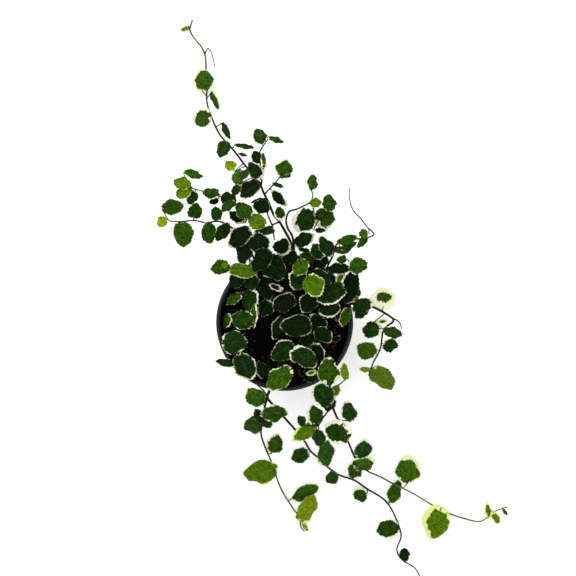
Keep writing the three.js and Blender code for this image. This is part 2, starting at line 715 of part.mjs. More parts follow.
// Three corners of a leaf stalk round its middle, turned the same way as the blade.
function stalkRing(middle, along, { sideways, upward }) {
  const across = sideways.clone().addScaledVector(along, -sideways.dot(along));
  if (across.length() < 0.3) {
    across.crossVectors(upward, along);
  }
  across.normalize();
  const over = along.clone().cross(across);
  const corner = (side, rise) => middle.clone()
    .addScaledVector(across, side * petioleRadius)
    .addScaledVector(over, rise * petioleRadius);
  return [corner(0.87, 0.5), corner(-0.87, 0.5), corner(0, -1)];
}

function nearestPoint(points, target, byHeight) {
  const distance = (point) => Math.hypot(
    point.x - target.x, point.y - target.y, byHeight ? point.z - target.z : 0);
  return points.reduce((best, point) => (distance(point) < distance(best) ? point : best));
}

// Where a stem is nearest under a place, and how it slants there.
function stemUnder(stemPoints, place) {
  const at = nearestPoint(stemPoints.flat(), place, false);
  const points = stemPoints.find((list) => list.includes(at));
  const i = points.indexOf(at);
  const run = points[Math.min(i + 1, points.length - 1)].clone().sub(points[Math.max(i - 1, 0)]);
  const level = Math.max(Math.hypot(run.x, run.y), 0.01);
  const rise = THREE.MathUtils.clamp(run.z / level, -steepestSlant, steepestSlant) * slantShare;
  return { height: at.z - potHeight, slant: { x: rise * run.x / level, y: rise * run.y / level } };
}

// The slant of a blade in the crown, falling away from the crown's middle.
function awayFromCrown({ x, y }) {
  const out = new THREE.Vector2(x - crownMiddle.x, y - crownMiddle.y).normalize();
  return out.multiplyScalar(-crownSlant);
}

// Lays every blade, in the order of the list, clear of what is already there, and each on a place of its
// own on its stems.
function layShoots() {
  const laid = [];
  const plans = shoots.map((shoot) => {
    const curves = shoot.stems.map(([, , route]) => stemCurve(route));
    const stemPoints = curves.map((curve) => curve.getPoints(6 * (curve.points.length - 1)));
    laid.push(...stemPoints.flat());
    const grown = growStems(shoot.stems);
    const lines = grown.flatMap((stem) => stem.line);
    return { ...shoot, root: curves[0].points[0], grown, lines, stemPoints, leaves: [] };
  });
  let seed = 0;
  plans.forEach((plan) => {
    plan.blades.forEach((row) => {
      seed += 1;
      let height = row[5];
      const place = fromAbove(row[0], row[1], height ?? -potHeight / 2);
      let slant = awayFromCrown(place);
      if (height === undefined) {
        const under = stemUnder(plan.stemPoints, place);
        height = under.height + clearGap + 0.1;
        slant = under.slant;
      }
      const frame = bladeFrame(row, height, slant);
      const points = samplesOf(frame);
      const shift = shiftToClear(points, laid);
      frame.base.z += shift;
      points.forEach((point) => {
        point.z += shift;
      });
      laid.push(...points);
      const from = nearestPoint(plan.lines, frame.base, true);
      plan.lines.splice(plan.lines.indexOf(from), 1);
      plan.leaves.push({ frame, seed, from });
    });
  });
  return plans;
}

function shootMesh(plan) {
  const stems = plan.grown.map((stem) => stem.solid);
  const root = rootSolid(plan.root, plan.stems[0][0] + rootFlare);
  const solids = [...plan.leaves.map(leafSolid), ...stems, root];
  const mesh = new THREE.Mesh(geometryOf(join(solids)), leafGreen);
  mesh.name = plan.name;
  return mesh;
}

// A profile of [radius, height] points turned round the pot's upright axis.
function turned(profile) {
  const points = profile.map(([radius, height]) => new THREE.Vector2(radius, height));
  const geometry = new THREE.LatheGeometry(points, potSegments);
  geometry.rotateX(Math.PI / 2);
  return geometry;
}

function potMesh() {
  const underside = [
    [0, 0], [centrePadRadius, 0], [centrePadRadius + 1.5, raisedFloor],
    [footRadius - footRingWidth - 1.5, raisedFloor], [footRadius - footRingWidth, 0],
    [footRadius - 0.8, 0], [footRadius, 0.8],
  ];
  const bandBottom = potHeight - bandHeight;
  const outside = [
    [shoulderRadius, bandBottom - 1.5], [bandRadius - 0.5, bandBottom], [bandRadius, potHeight - 3],
    [rimRadius, potHeight - 2], [rimRadius, potHeight - 0.6], [rimRadius - 0.6, potHeight],
  ];
  const inside = [
    [bandRadius - 1, potHeight], [bandRadius - potWall, potHeight - 1.2],
    [bandRadius - 0.5 - potWall, bandBottom + 1], [shoulderRadius - potWall, bandBottom - 0.7],
    [footRadius - potWall, 4.4], [footRadius - 2.4, raisedFloor + potWall],
    [centrePadRadius + 0.8, raisedFloor + potWall], [centrePadRadius - 0.6, potWall], [0, potWall],
  ];
  let solid = solidOf(turned([...underside, ...outside, ...inside]));
  for (let i = 0; i < drainHoles.count; i += 1) {
    const angle = (i / drainHoles.count) * 2 * Math.PI;
    const drill = new THREE.CylinderGeometry(drainHoles.radius, drainHoles.radius, 8, 8);
    drill.rotateX(Math.PI / 2);
    drill.translate(drainHoles.ringRadius * Math.cos(angle), drainHoles.ringRadius * Math.sin(angle), 2);
    solid = solid.subtract(solidOf(drill));
  }
  const mesh = new THREE.Mesh(geometryOf(solid), potBlack);
  mesh.name = 'nursery_pot';
  return mesh;
}

function soilMesh(plans) {
  const top = potHeight - soilBelowRim;
  const bandBottom = potHeight - bandHeight;
  const bandInside = bandRadius - 0.5 - potWall - soilGap;
  const geometry = turned([
    [0, raisedFloor + potWall + soilGap], [footRadius - 3, raisedFloor + potWall + soilGap],
    [footRadius - potWall - soilGap, 5], [shoulderRadius - potWall - soilGap, bandBottom - 0.6],
    [bandInside, bandBottom + 1], [bandInside, top - 0.4],
    [36, top], [18, top], [0, top],
  ]);
  const position = geometry.attributes.position;
  for (let i = 0; i < position.count; i += 1) {
    if (position.getZ(i) >= top - 0.01) {
      const x = position.getX(i);
      const y = position.getY(i);
      const relief = Math.sin(x * 0.21 + 1) * Math.cos(y * 0.17) + 0.5 * Math.sin(x * 0.4 - y * 0.33);
      position.setZ(i, top + soilRelief * relief * 0.66);
    }
  }
  let solid = solidOf(geometry);
  plans.forEach(({ root, stems }) => {
    const radius = stems[0][0] + rootFlare + rootHoleGap;
    const drill = new THREE.CylinderGeometry(radius, radius, 40, 8);
    drill.rotateX(Math.PI / 2);
    drill.translate(root.x, root.y, top - rootDepth - rootHoleGap + 20);
    solid = solid.subtract(solidOf(drill));
  });
  const mesh = new THREE.Mesh(geometryOf(solid), soilBrown);
  mesh.name = 'potting_soil';
  return mesh;
}

const plans = layShoots();
const plant = new THREE.Group();
plant.add(potMesh());
plant.add(soilMesh(plans));
plans.forEach((plan) => plant.add(shootMesh(plan)));

export default plant;
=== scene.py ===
# Dresses the potted variegated creeping fig: fine leaves, stems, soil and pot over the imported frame.
import bpy, bmesh, math, random
import numpy as np
from mathutils import Matrix, Vector, kdtree, noise


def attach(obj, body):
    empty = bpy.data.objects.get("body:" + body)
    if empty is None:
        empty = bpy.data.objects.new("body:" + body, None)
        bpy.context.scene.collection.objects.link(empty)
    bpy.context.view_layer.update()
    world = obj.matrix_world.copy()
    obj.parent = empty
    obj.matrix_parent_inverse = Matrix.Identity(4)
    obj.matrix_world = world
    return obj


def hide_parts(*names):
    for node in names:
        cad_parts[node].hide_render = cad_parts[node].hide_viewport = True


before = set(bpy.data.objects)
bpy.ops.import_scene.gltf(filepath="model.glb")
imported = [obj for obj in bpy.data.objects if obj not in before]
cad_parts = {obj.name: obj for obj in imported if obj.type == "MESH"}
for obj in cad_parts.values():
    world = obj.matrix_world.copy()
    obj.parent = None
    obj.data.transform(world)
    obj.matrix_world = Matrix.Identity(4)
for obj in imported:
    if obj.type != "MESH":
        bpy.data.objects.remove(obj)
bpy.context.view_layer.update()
mm = 0.001

# The camera looks straight down. Routes and leaves are measured in the plane of the rim, as it sees them.
cameraSettings = {"place": (2.6, 26.7, 990), "seenWidth": 446.4, "sensor": 36}
potHeight = 90
surface = -89    # height of the runners that lie on the table, over the rim
rootTop = -9.6    # height of the stems' roots, over the rim

camera = bpy.data.cameras.new("camera")
camera.sensor_width = cameraSettings["sensor"]
eyeOverRim = cameraSettings["place"][2] - potHeight
camera.lens = cameraSettings["sensor"] * eyeOverRim / cameraSettings["seenWidth"]
cameraObject = bpy.data.objects.new("camera", camera)
cameraObject.location = Vector(cameraSettings["place"]) * mm
bpy.context.collection.objects.link(cameraObject)
bpy.context.scene.camera = cameraObject
print("camera set")

# Each shoot has stems of (radius at the root, radius at the tip, route of (across, up, height over the
# rim)) and blades of (across and up of the base, across and up of the tip, width, height of the base).
# A point without a height lies on the table, and a blade without a height rides over its stem. A width
# under zero rolls the blade the other way.
# Looks go with the blades: how young and bright it is, which on the crown's leaves is set low partly for
# their age and partly as painted shade, how wide its spotted cream margin is, and for some how wide a full
# cream band is on one side, and which, in degrees as the camera sees it.
shoots = [
    {"name": "runner_northwest", "stems": [
        (1.1, 0.6, [(1, 24, rootTop), (1.5, 34, 3), (4, 46, 12), (5.7, 56, 16.5), (4.6, 62.5, 18),
            (1.2, 69, 18.5), (-4, 78, 18.5), (-8.5, 83.5, 18), (-12, 92, 15.5), (-16.5, 101, 10.5),
            (-20, 109.3, 4), (-28.5, 119, -8), (-36.5, 129.5, -21), (-43, 137.5, -32), (-50.5, 146, -45),
            (-57, 160, -62), (-60.3, 171, -74), (-60.2, 182, -83), (-60.9, 195, -88.2), (-61.5, 206),
            (-64.5, 213.5), (-70.2, 220.5), (-73.4, 227), (-71.5, 234.5)]),
        (0.7, 0.5, [(-4, 78, 18.5), (-7.3, 76.6, 18.5), (-9.5, 75, 18.5), (-8.7, 70, 17.5),
            (-8, 64, 15.5)]),
        (0.7, 0.5, [(-9.5, 75, 18.5), (-11.7, 80, 19.5), (-13.9, 85.5, 20)]),
        (0.8, 0.5, [(-18.4, 105.3, 7.5), (-17.5, 113, 8), (-19, 123, 6), (-19.5, 131, 4), (-16.5, 137, 2.5),
            (-12.5, 142.5, 1)]),
        (0.7, 0.45, [(-15.4, 98.5, 12), (-12.5, 102.8, 13), (-7, 108.5, 13.5), (-3, 113.8, 13.5)]),
        (0.5, 0.4, [(-61.6, 208), (-59.6, 212.4, -87.5), (-56.6, 208.6, -87), (-53.8, 197.5, -87.5)])],
     "blades": [(-74.5, 228.5, -81, 227, 3.5), (-63.5, 180.5, -63.5, 199, 16),
        (-56.5, 178, -50.5, 163.5, 5), (-58.5, 161, -72.5, 157.5, 16.5), (-48, 154, -42, 141, 5),
        (-45.5, 139.5, -50, 127.5, 11), (-37.5, 137.5, -23.5, 134.5, 3.4), (-34.5, 130.5, -29, 128.6, 2.4),
        (-39.5, 119, -45.5, 126, 8.5), (-36, 118, -36, 105, 10), (-35.5, 106, -40, 98.5, -6.5, 0),
        (-21.5, 109, -35, 98, 14), (-18.5, 111.5, -27, 124.5, 11), (-15.5, 120.5, -17, 131.5, 4),
        (-19.5, 125, -24.5, 133.5, -8.5), (-18, 139.5, -21, 150.5, 10.5), (-12, 143, -0.5, 139.5, -5),
        (-2.5, 115.5, 2.5, 127, 13), (-1.5, 113.5, 1, 121.5, 11, 17), (-8.5, 107.5, -1, 105, 3),
        (-9, 101, 1.5, 90, 7, 16), (-12.5, 89, -24.5, 91, 11, 17), (-14.5, 96, -26.5, 93.5, 4),
        (-3.5, 80, -4, 90, 8, 21), (-9.5, 71.5, -24, 69, 8.5, 20), (-27.5, 117.5, -34.5, 110.5, 7)],
     "looks": [(0.8, 0.1), (0.45, 0.15, 0.55, 150), (0.4, 0.3, 0.4, 0), (0.4, 0.4, 0.9, 150), (0.3, 0.2),
        (0.3, 0.2), (0.35, 0.2), (0.35, 0.2), (0.9, 0.4), (0.5, 0.2), (0.35, 0.2), (0.15, 0.2),
        (0.2, 0.2, 0.5, 0), (0.4, 0.7), (0.2, 0.2), (0.35, 0.2), (0.4, 0.5), (0.4, 0.1, 0.6, 90),
        (0.4, 0.2), (0.35, 0.2), (0.12, 0.12, 0.6, -20), (0.12, 0.12), (0.2, 0.2), (0.3, 0.12, 0.5, -90),
        (0.25, 0.15, 0.5, -120), (0.35, 0.2)]},
    {"name": "shoot_northeast", "stems": [
        (1, 0.5, [(8.5, 27, rootTop), (8, 36, 0), (7.8, 47, 9), (7.3, 57, 14), (6, 66.5, 15.5),
            (2.2, 73.5, 14.5), (1.2, 80, 14), (3.6, 86, 14.5), (9, 87.7, 15), (14, 90, 15),
            (19.5, 93, 14.5), (21.8, 98, 14), (20.5, 103.5, 13)]),
        (0.7, 0.5, [(19.5, 93, 14.5), (22, 89.2, 14), (23.2, 84, 13.5), (28, 80.5, 12.5), (34.5, 86, 12)])],
     "blades": [(20.8, 104, 22.5, 115, 8.5), (20.5, 92.2, 28.5, 93.5, 7.5), (34.9, 87.2, 33.8, 99.3, 10.5),
        (19.8, 85, 8, 71.5, 17.5), (24.8, 81, 40, 80.5, 17.5), (24, 71.8, 31.5, 71, 3.6, 11),
        (9, 61.2, 23, 68.3, 10.5, 16)],
     "looks": [(0.4, 0.3), (0.7, 0.15), (0.38, 0.2), (0.22, 0.15, 0.8, 180), (0.38, 0.4, 0.6, -90),
        (0.25, 0.2), (0.22, 0.15, 0.4, 20)]},
    {"name": "shoot_west_upper", "stems": [
        (1, 0.5, [(-12, 34, rootTop), (-13.5, 42, 0), (-15.5, 52, 7), (-17, 62, 12), (-19.5, 72, 18),
            (-24, 81, 22), (-32, 88, 22.5), (-42, 93.5, 21), (-52, 98.5, 18), (-63, 101.6, 15),
            (-73.5, 104.5, 11)]),
        (0.5, 0.4, [(-73.5, 104.5, 11), (-76.6, 110, 11.5), (-78.2, 115.5, 11.5)])],
     "blades": [(-74, 106, -86, 110, 10), (-73.5, 104.5, -84, 97.5, 10.5), (-76.5, 116.5, -63.5, 113, -7),
        (-70, 101, -75, 92, 9), (-51.5, 99.5, -63.5, 101, 9), (-52, 95, -58.5, 92.5, -4.5, 13),
        (-40.5, 91, -47.5, 101, 11.5, 18), (-39.5, 93, -49, 86.8, 8), (-31.5, 78.5, -42.5, 86.3, 10, 21),
        (-27, 83, -37.5, 92, 12.5, 27), (-16.5, 75.5, -28.5, 82, 12.5, 29)],
     "looks": [(0.75, 0.15), (0.75, 0.15), (0.4, 0.25), (0.3, 0.2), (0.35, 0.2), (0.2, 0.1), (0.25, 0.15),
        (0.35, 0.15), (0.1, 0.1, 0.35, -45), (0.38, 0.12), (0.66, 0.12)]},
    {"name": "shoot_west_lower", "stems": [
        (1, 0.5, [(-20, 33, rootTop), (-21, 40, -2), (-24, 50, 5.5), (-29.5, 60, 9.5), (-36, 69, 12),
            (-44, 75.5, 13), (-52, 78.4, 13), (-61, 77.4, 12), (-70, 79, 10.5), (-79, 78.3, 8.5),
            (-88, 78.5, 5.5), (-91.2, 80.5, 4.5)])],
     "blades": [(-92.2, 80, -99, 75.5, 8.5), (-94, 88.5, -78, 90, 12), (-70.5, 81.5, -68, 92.5, 11.5),
        (-79, 76.5, -78, 58.5, 16.5), (-59, 76.5, -58.5, 61, 12.5), (-52.2, 80, -54, 90, 9),
        (-44, 75.5, -52.5, 63, -9)],
     "looks": [(1, 0.1), (0.42, 0.2), (0.3, 0.2), (0.4, 0.2), (0.35, 0.25), (0.3, 0.2), (0.25, 0.15)]},
    {"name": "shoot_west_pair", "stems": [
        (0.9, 0.5, [(-30, 15, rootTop), (-33.5, 20, -3), (-37, 28, 6), (-40, 36, 13), (-42.2, 41, 17.5),
            (-43.4, 43.4, 22)]),
        (0.5, 0.4, [(-33.5, 20, -3), (-39, 12, -5), (-42.5, 6, -4)])],
     "blades": [(-34.5, 21.5, -45.5, 14.5, 7.5, -1), (-43, 5.5, -47, -4.5, 7, -2.5),
        (-37, 38, -37.5, 26.5, 12, 13), (-44.2, 43.5, -58, 42, 11.5, 18),
        (-40.8, 41.5, -21.8, 37.5, 11, 20.5), (-44.4, 43.8, -49, 44.8, 4, 23.5)],
     "looks": [(0.4, 0.15), (0.4, 0.15, 0.4, 0), (0.1, 0.1), (0.4, 0.15), (0.58, 0.12, 0.15, -90),
        (0.75, 0.2)]},
    {"name": "shoot_low_west", "stems": [
        (0.9, 0.6, [(-35, -9, rootTop), (-38, -9, -6), (-43, -11, 1), (-46.5, -15, 3)]),
        (0.7, 0.4, [(-38, -9, -6), (-37.5, -17, -1), (-37, -25, 4), (-38.8, -31.5, 8.5)])],
     "blades": [(-46.8, -16, -29, -14.5, 18, 5), (-34.5, -26, -25.5, -44.5, 17.5, 6),
        (-39.5, -33, -54, -29.5, 5.5, 6)],
     "looks": [(0.28, 0.3), (0.2, 0.3, 0.3, -90), (0.28, 0.2)]},
    {"name": "crown_west", "stems": [
        (1.1, 0.6, [(-16, 17, rootTop), (-18.5, 22, -1), (-22, 30, 5), (-25.5, 40, 10), (-27.5, 52, 15),
            (-28, 63.5, 17.5)]),
        (0.7, 0.5, [(-18.5, 22, -1), (-22.5, 13, 1), (-25, 4, 3)]),
        (0.6, 0.4, [(-27.5, 52, 15), (-25.5, 59, 20), (-23.5, 66, 24)])],
     "blades": [(-10, 20, -19, 26.5, 8, -2), (-11, 15.5, -19.5, 5.5, 12, 0), (-23, 13, -24, -4, 5, 2),
        (-25.5, 1, -41.5, 3.5, 15, 6), (-26, 36.5, -26, 25, 12, 12), (-25.5, 24.5, -29, 9, 13, 9),
        (-20, 47, -27, 47, 4, 14), (-30, 65, -33.5, 45, 14, 19), (-23, 66.5, -15.5, 53.5, 16, 26),
        (-28.5, 72, -44, 59.5, 15, 23), (-12, 54, -24, 40, 14, 6), (-20, 34, -10, 27.5, 9, 4)],
     "looks": [(0.1, 0.1), (0.12, 0.4), (0.5, 0.15, 0.6, 0), (0.3, 0.35), (0.2, 0.15), (0.3, 0.1, 0.3, 0),
        (0.2, 1.4), (0.06, 0.08), (0.12, 0.2), (0.08, 0.08, 0.4, 180), (0.04, 0.08), (0.05, 0.08)]},
    {"name": "crown_centre", "stems": [
        (1.1, 0.6, [(3, 12, rootTop), (0.5, 18, 0), (-3, 26, 11), (-7, 36, 19), (-11, 45, 23.5),
            (-13.5, 50, 25.5)]),
        (0.6, 0.4, [(-11, 45, 23.5), (-5, 51.5, 21), (2.5, 56, 18)]),
        (0.6, 0.4, [(0.5, 18, 0), (-1.5, 10, 1), (-3, 3.5, 2)])],
     "blades": [(-3.2, 3, -9, -13.5, 9, 3), (7, 18, -9.5, 12.5, 14, 5), (-2.2, 25.5, -12, 29.5, 5, 15),
        (3.5, 57, -9, 60, 13, 21.5), (0, 54.5, 9.5, 47, 10.5, 20), (-14, 50.5, -2, 33, 18, 28)],
     "looks": [(0.12, 0.1, 0.4, 180), (0.03, 0.08, 0.2, 130), (0.12, 1.4), (0.04, 0.06, 0.35, -45),
        (0.05, 0.06), (0.15, 0.12)]},
    {"name": "crown_north", "stems": [
        (1.1, 0.6, [(16, 25, rootTop), (15.5, 32, 6), (15.5, 41, 24), (16.3, 47.5, 36)]),
        (0.8, 0.5, [(15.5, 41, 24), (22, 47.5, 23), (28.5, 50, 22), (35, 51.8, 21)])],
     "blades": [(32.5, 48.5, 21, 43, 9, 17), (18.5, 55.5, 10.5, 57, 3.5, 20), (35, 52.5, 28.5, 67, 11, 23),
        (28, 50.5, 22.5, 61, 10.5, 27), (22.5, 50.5, 12, 52.5, 8, 27), (13, 39.5, 7, 25.5, 14.5, 33),
        (16, 47.5, 7.5, 37, 11.5, 39)],
     "looks": [(0.04, 0.1), (0.05, 0.08), (0.2, 0.12), (0.25, 0.12), (0.3, 0.12), (0.18, 0.1, 0.3, 180),
        (0.5, 0.25)]},
    {"name": "crown_top", "stems": [
        (1.1, 0.6, [(25, 11, rootTop), (24, 15, 0), (22.5, 22, 12), (20.5, 29, 27), (19.3, 35, 39)]),
        (0.8, 0.5, [(22.5, 22, 12), (31, 26, 18), (40, 28, 22.5), (45, 27.2, 24.5)]),
        (0.6, 0.45, [(40, 28, 22.5), (43, 20, 15), (42.2, 12, 11)])],
     "blades": [(21.5, 21, 14, 8, 14, 11), (41.8, 11.5, 26.5, 8, 11.5, 12.5), (45, 27, 25, 17, 16, 27),
        (22, 39, 36, 30, 11, 34), (19, 35, 27.5, 20.5, 16.5, 43)],
     "looks": [(0.04, 0.06, 0.2, 180), (0.18, 0.1, 0.4, -90), (0.22, 0.1, 0.25, -90), (0.2, 0.12),
        (0.6, 0.2, 0.25, -60)]},
    {"name": "crown_east", "stems": [
        (1, 0.5, [(35.5, 18, rootTop), (38.5, 27, 3), (43, 36, 10.5), (48, 41, 16), (51, 44, 20),
            (53.5, 46, 21.5)])],
     "blades": [(49, 42, 31.5, 41.5, 8.5, 18), (53.5, 38, 48.5, 14.5, 12, 15), (47, 49, 40.3, 49, 7, 22),
        (45.5, 38, 40, 30, 5.5, 19), (50.5, 43.5, 64.5, 44.8, 13, 22)],
     "looks": [(0.08, 0.12), (0.12, 0.15), (0.35, 0.6), (0.6, 1.6), (0.4, 0.2)]},
    {"name": "twig_east", "stems": [
        (0.9, 0.4, [(27, 27, rootTop), (30, 36, 0), (34, 45, 8), (37.3, 52, 13), (38.8, 58, 16),
            (42.5, 62.3, 17.5), (50, 64.8, 19), (58, 64.8, 20), (65, 66, 21), (69.2, 68.6, 21.5),
            (64, 74, 23), (58.5, 81, 24), (53, 87.2, 24), (50.3, 96, 23.5), (50.2, 104, 22.5)])],
     "blades": [(38, 57, 50.5, 55, 5.5, 17), (45, 57.5, 56.5, 62, 6, 19), (42, 62, 56.5, 66.5, 6.5, 20.5),
        (63.5, 68.5, 57.5, 68.5, 7.5), (63.5, 65, 56, 58.3, 5, 20)],
     "looks": [(0.45, 0.1), (0.4, 0.1), (0.42, 0.2), (0.5, 0.1), (0.45, 0.1)]},
    {"name": "runner_east", "stems": [
        (1.1, 0.6, [(37, 8.5, rootTop), (40, 11, -5), (45, 13.5, 2), (52, 14.5, 7.5), (60, 14.3, 9.5),
            (67, 12.5, 9), (76, 8.2, 6.5), (84, 2.8, 1), (83, -0.3, -3), (79, -3, -7), (76.2, -7, -12),
            (75.3, -13, -19), (74.2, -20, -26), (71.5, -26, -33), (68.7, -31, -40), (66.5, -37, -49),
            (65.3, -41, -55)]),
        (0.6, 0.4, [(84, 2.8, 1), (87, 1.8, 0.5), (89.6, -1, 0), (90.6, -5, -1)]),
        (0.6, 0.4, [(52, 14.5, 7.5), (55.5, 16, 10), (57, 19.5, 12)])],
     "blades": [(48.5, 10, 44.5, -3, 8), (51.5, 15.5, 57, 22.5, 6), (57, 20.5, 57, 28, 4.5),
        (66, 15.5, 52, 10.5, 11, 12), (62.5, 13, 55, 3.5, 10), (76.6, 11.5, 78, 27.5, 20),
        (71.5, 0.5, 80, 1.2, 3.5, 0), (73.8, -5, 60.5, -7, 13.5), (77.5, -5.5, 90, -10.5, 9),
        (76.8, -17, 88, -18.5, 10.5), (69.8, -24.5, 56, -19, 14.5), (65.5, -36.5, 58, -36, 4),
        (69.5, -36.5, 85, -53, 15.5)],
     "looks": [(0.5, 0.15, 0.5, 180), (0.6, 1.6), (0.3, 0.1), (0.2, 0.25), (0.25, 0.2), (0.4, 1.6),
        (0.6, 1.6), (0.3, 0.15, 0.3, 0), (0.35, 0.2), (0.25, 0.2), (0.5, 0.2), (1, 0.1), (0.65, 0.2)]},
    {"name": "shoot_low_east", "stems": [
        (0.9, 0.6, [(19, -5, rootTop), (19.8, -4, 0), (19.8, -3.5, 13)]),
        (0.7, 0.4, [(19.8, -4, 0), (22, -10, 1), (23, -16, 0)])],
     "blades": [(22, -10, 11, -18.5, 9, -2), (23.2, -17, 29, -30, 9.5, 0), (25, -6, 36.5, -15, 12, 3),
        (20.5, 3.5, 33, -4.5, 12, 7), (19.2, -3, -3.5, -2, 17, 17)],
     "looks": [(0.22, 0.15), (0.15, 0.12, 0.25, 45), (0.2, 0.12, 0.25, -45), (0.22, 0.15),
        (0.1, 0.1, 0.12, 140)]},
    {"name": "shoot_low_south", "stems": [
        (0.9, 0.6, [(9, -15, rootTop), (8.5, -17.5, -2), (7.6, -22, 5), (5.8, -29, 8), (4, -35.5, 10)])],
     "blades": [(4, -29.5, -5, -33.5, 8, 1), (6, -17.5, -10.5, -27.5, 15, 5),
        (7.2, -21, 24, -33.5, 15.5, 6), (3.2, -36.8, -14, -51, 15.5, 9)],
     "looks": [(0.06, 0.08), (0.22, 0.12, 0.12, 120), (0.24, 0.12, 0.12, 150), (0.46, 0.25)]},
    {"name": "runner_south", "stems": [
        (1.2, 0.5, [(-13, -25.5, rootTop), (-12.3, -30, -5), (-11.3, -36, 1.5), (-10.8, -44, 5),
            (-11.3, -51.5, 6), (-13.4, -58, 4), (-9.5, -63.3, 0), (-3.5, -70, -7), (2.7, -77, -16),
            (7.2, -82, -23), (14.7, -91, -36), (20, -99.5, -49), (25.5, -104.5, -58), (32, -111, -68),
            (42, -118, -80), (54, -122.3, -87.5), (64, -129), (76, -136.5), (83, -145), (88.3, -157),
            (90.3, -166), (86.9, -176), (91, -184), (100.5, -190), (105, -197)]),
        (0.9, 0.5, [(-13.4, -58, 4), (-15.3, -65, -3), (-17.2, -75, -14), (-18.3, -86, -28),
            (-15, -97, -46), (-11.5, -105, -59), (-8.5, -113, -71), (-5.8, -121.5, -82),
            (-2.5, -129.5, -88), (1.5, -136.5), (6, -143.5), (11.5, -151.5), (12.4, -158.5), (15.5, -162)]),
        (0.6, 0.45, [(-13.4, -58, 4), (-15.7, -53.7, 6), (-20, -49.3, 7), (-25.3, -45.5, 8)])],
     "blades": [(-16, -42, -19.5, -30, 9, -3), (-18, -63, -28, -51, 15.5), (-16.5, -71, 2.7, -70, 14, -4),
        (-16.5, -77.5, -22.5, -66.8, 8.5), (-15.5, -76.5, -10.5, -81.5, 7.5, -14),
        (-18.5, -80.5, -32.5, -81, 15), (-9, -100.8, -6, -86, 13), (-7.5, -114, -31.8, -116.5, 19),
        (8, -135.3, 26.3, -126.5, 13), (12.8, -152, 23.5, -133.5, 14.5), (14.2, -155.5, 17.8, -161.5, 3.4),
        (18.3, -101.5, 5, -105, 13.5), (30.8, -110, 33.5, -90.5, 14), (40.5, -119.7, 31.5, -122.5, 11),
        (54, -119.5, 55.5, -108, 11.5), (62.3, -132.3, 52.5, -134.5, 11.5),
        (82.5, -138, 88.5, -122.5, 11.8), (87, -158.8, 71, -163, 14.8), (93.6, -184, 92.3, -175.3, 8)],
     "looks": [(0.2, 0.15), (0.45, 0.25), (0.35, 0.25), (0.25, 0.2), (0.3, 0.2), (0.35, 0.25),
        (0.4, 0.15, 0.5, 150), (0.6, 0.2), (0.45, 0.25), (0.85, 0.2), (1, 0.1), (0.3, 0.25), (0.4, 0.25),
        (0.3, 0.2), (0.4, 0.2), (0.35, 0.2, 0.5, 135), (0.4, 0.25), (0.35, 0.15, 0.5, -90), (0.15, 0.1)]},
    {"name": "runner_southeast", "stems": [
        (1.05, 0.5, [(27.5, -25.5, rootTop), (29, -30, -4), (31.5, -36, 2.5), (33.5, -43, 5.5),
            (35, -50, 5.5), (35.8, -58, 3), (37.4, -66, -2), (40, -72.5, -8), (43.5, -80, -17),
            (49, -92, -33), (54, -103.7, -50), (58, -109.8, -60), (64.5, -115.3, -68), (75, -120, -74),
            (84.5, -125.3, -77.5), (93.3, -129.3, -82.5), (103, -134.5, -87), (113.5, -141), (127, -147.8),
            (140, -152.2), (151, -154.3), (158, -150.3, -87.5), (163, -146.2, -86.5),
            (172.8, -143, -86.5)]),
        (0.7, 0.45, [(37.4, -66, -2), (33.5, -69, -5), (29.7, -74, -9), (26.4, -80, -14),
            (26.6, -84, -18)]),
        (0.6, 0.4, [(35, -51, 5), (39.5, -49.7, 5), (44.5, -46.6, 4), (47, -43.8, 3.5)])],
     "blades": [(24.5, -42.2, 15, -44, 6, -3), (24, -38, 16.5, -39.8, 4, 0), (34, -47, 34, -27, 17, 8),
        (47, -43, 46, -31.5, 6.4), (38.2, -57.5, 41, -48, 7.5), (34.3, -62, 22.5, -48, 17, 8),
        (33.8, -62, 32.8, -69.3, 6.5, -4), (37, -59.5, 38.6, -66, -4), (51.5, -75.2, 47, -61, 12, -8),
        (49, -88, 31.5, -79, 18, -13), (60, -103.8, 61, -89, 14), (54.5, -109.5, 70.8, -109.5, 14),
        (26, -78.5, 20.5, -64, 12.5), (25.8, -84, 27.3, -98, 10.5), (22.8, -80.3, 5.8, -92.3, 11),
        (14.7, -79, 11, -72.3, 6.5, -10), (96.4, -122.3, 95.5, -103, 20), (120.3, -144, 112, -167.5, 20),
        (157.5, -150, 156.5, -139.3, 5.5), (160.5, -146.5, 165.5, -156, 6, -84),
        (169.5, -145, 172.5, -149.5, 2.4)],
     "looks": [(0.12, 0.1), (0.6, 1.6), (0.4, 0.5), (0.8, 0.2), (0.55, 0.2, 0.5, -45),
        (0.25, 0.15, 0.5, 180), (0.2, 0.15), (0.2, 0.1), (0.3, 0.15, 0.5, 135), (0.3, 0.5, 0.6, 90),
        (0.3, 0.3, 0.5, 100), (0.45, 0.3, 0.7, 80), (0.35, 0.15, 0.5, 180), (0.25, 0.2),
        (0.65, 0.15, 0.5, 200), (0.3, 0.2), (0.48, 0.2, 0.8, 60), (0.64, 0.3, 0.95, 180), (0.7, 1.3),
        (0.7, 1.3), (0.5, 0.1)]}]

# The blades are laid one after another, each clear of all that is there already. The floors are how low a
# blade may come within a distance from the pot's middle: over the soil, over the rim, else over the table.
laySettings = {
    "ratio": 0.86, "narrowest": 0.5, "broadest": 1, "fuller": 1.25, "outline": (0.75, 0.6),
    "droop": 0.12, "wave": 0.08, "routeParts": 6, "pitch": 3.2, "clearGap": 1.9, "clearReach": 2.6,
    "step": 0.5, "tries": 80, "overStem": 2, "slantShare": 0.85, "steepest": 0.9,
    "crownSlant": 0.2, "crownMiddle": (8, 36), "floors": [(48.5, 79.7), (54.2, 91.3)], "ground": 1.2}


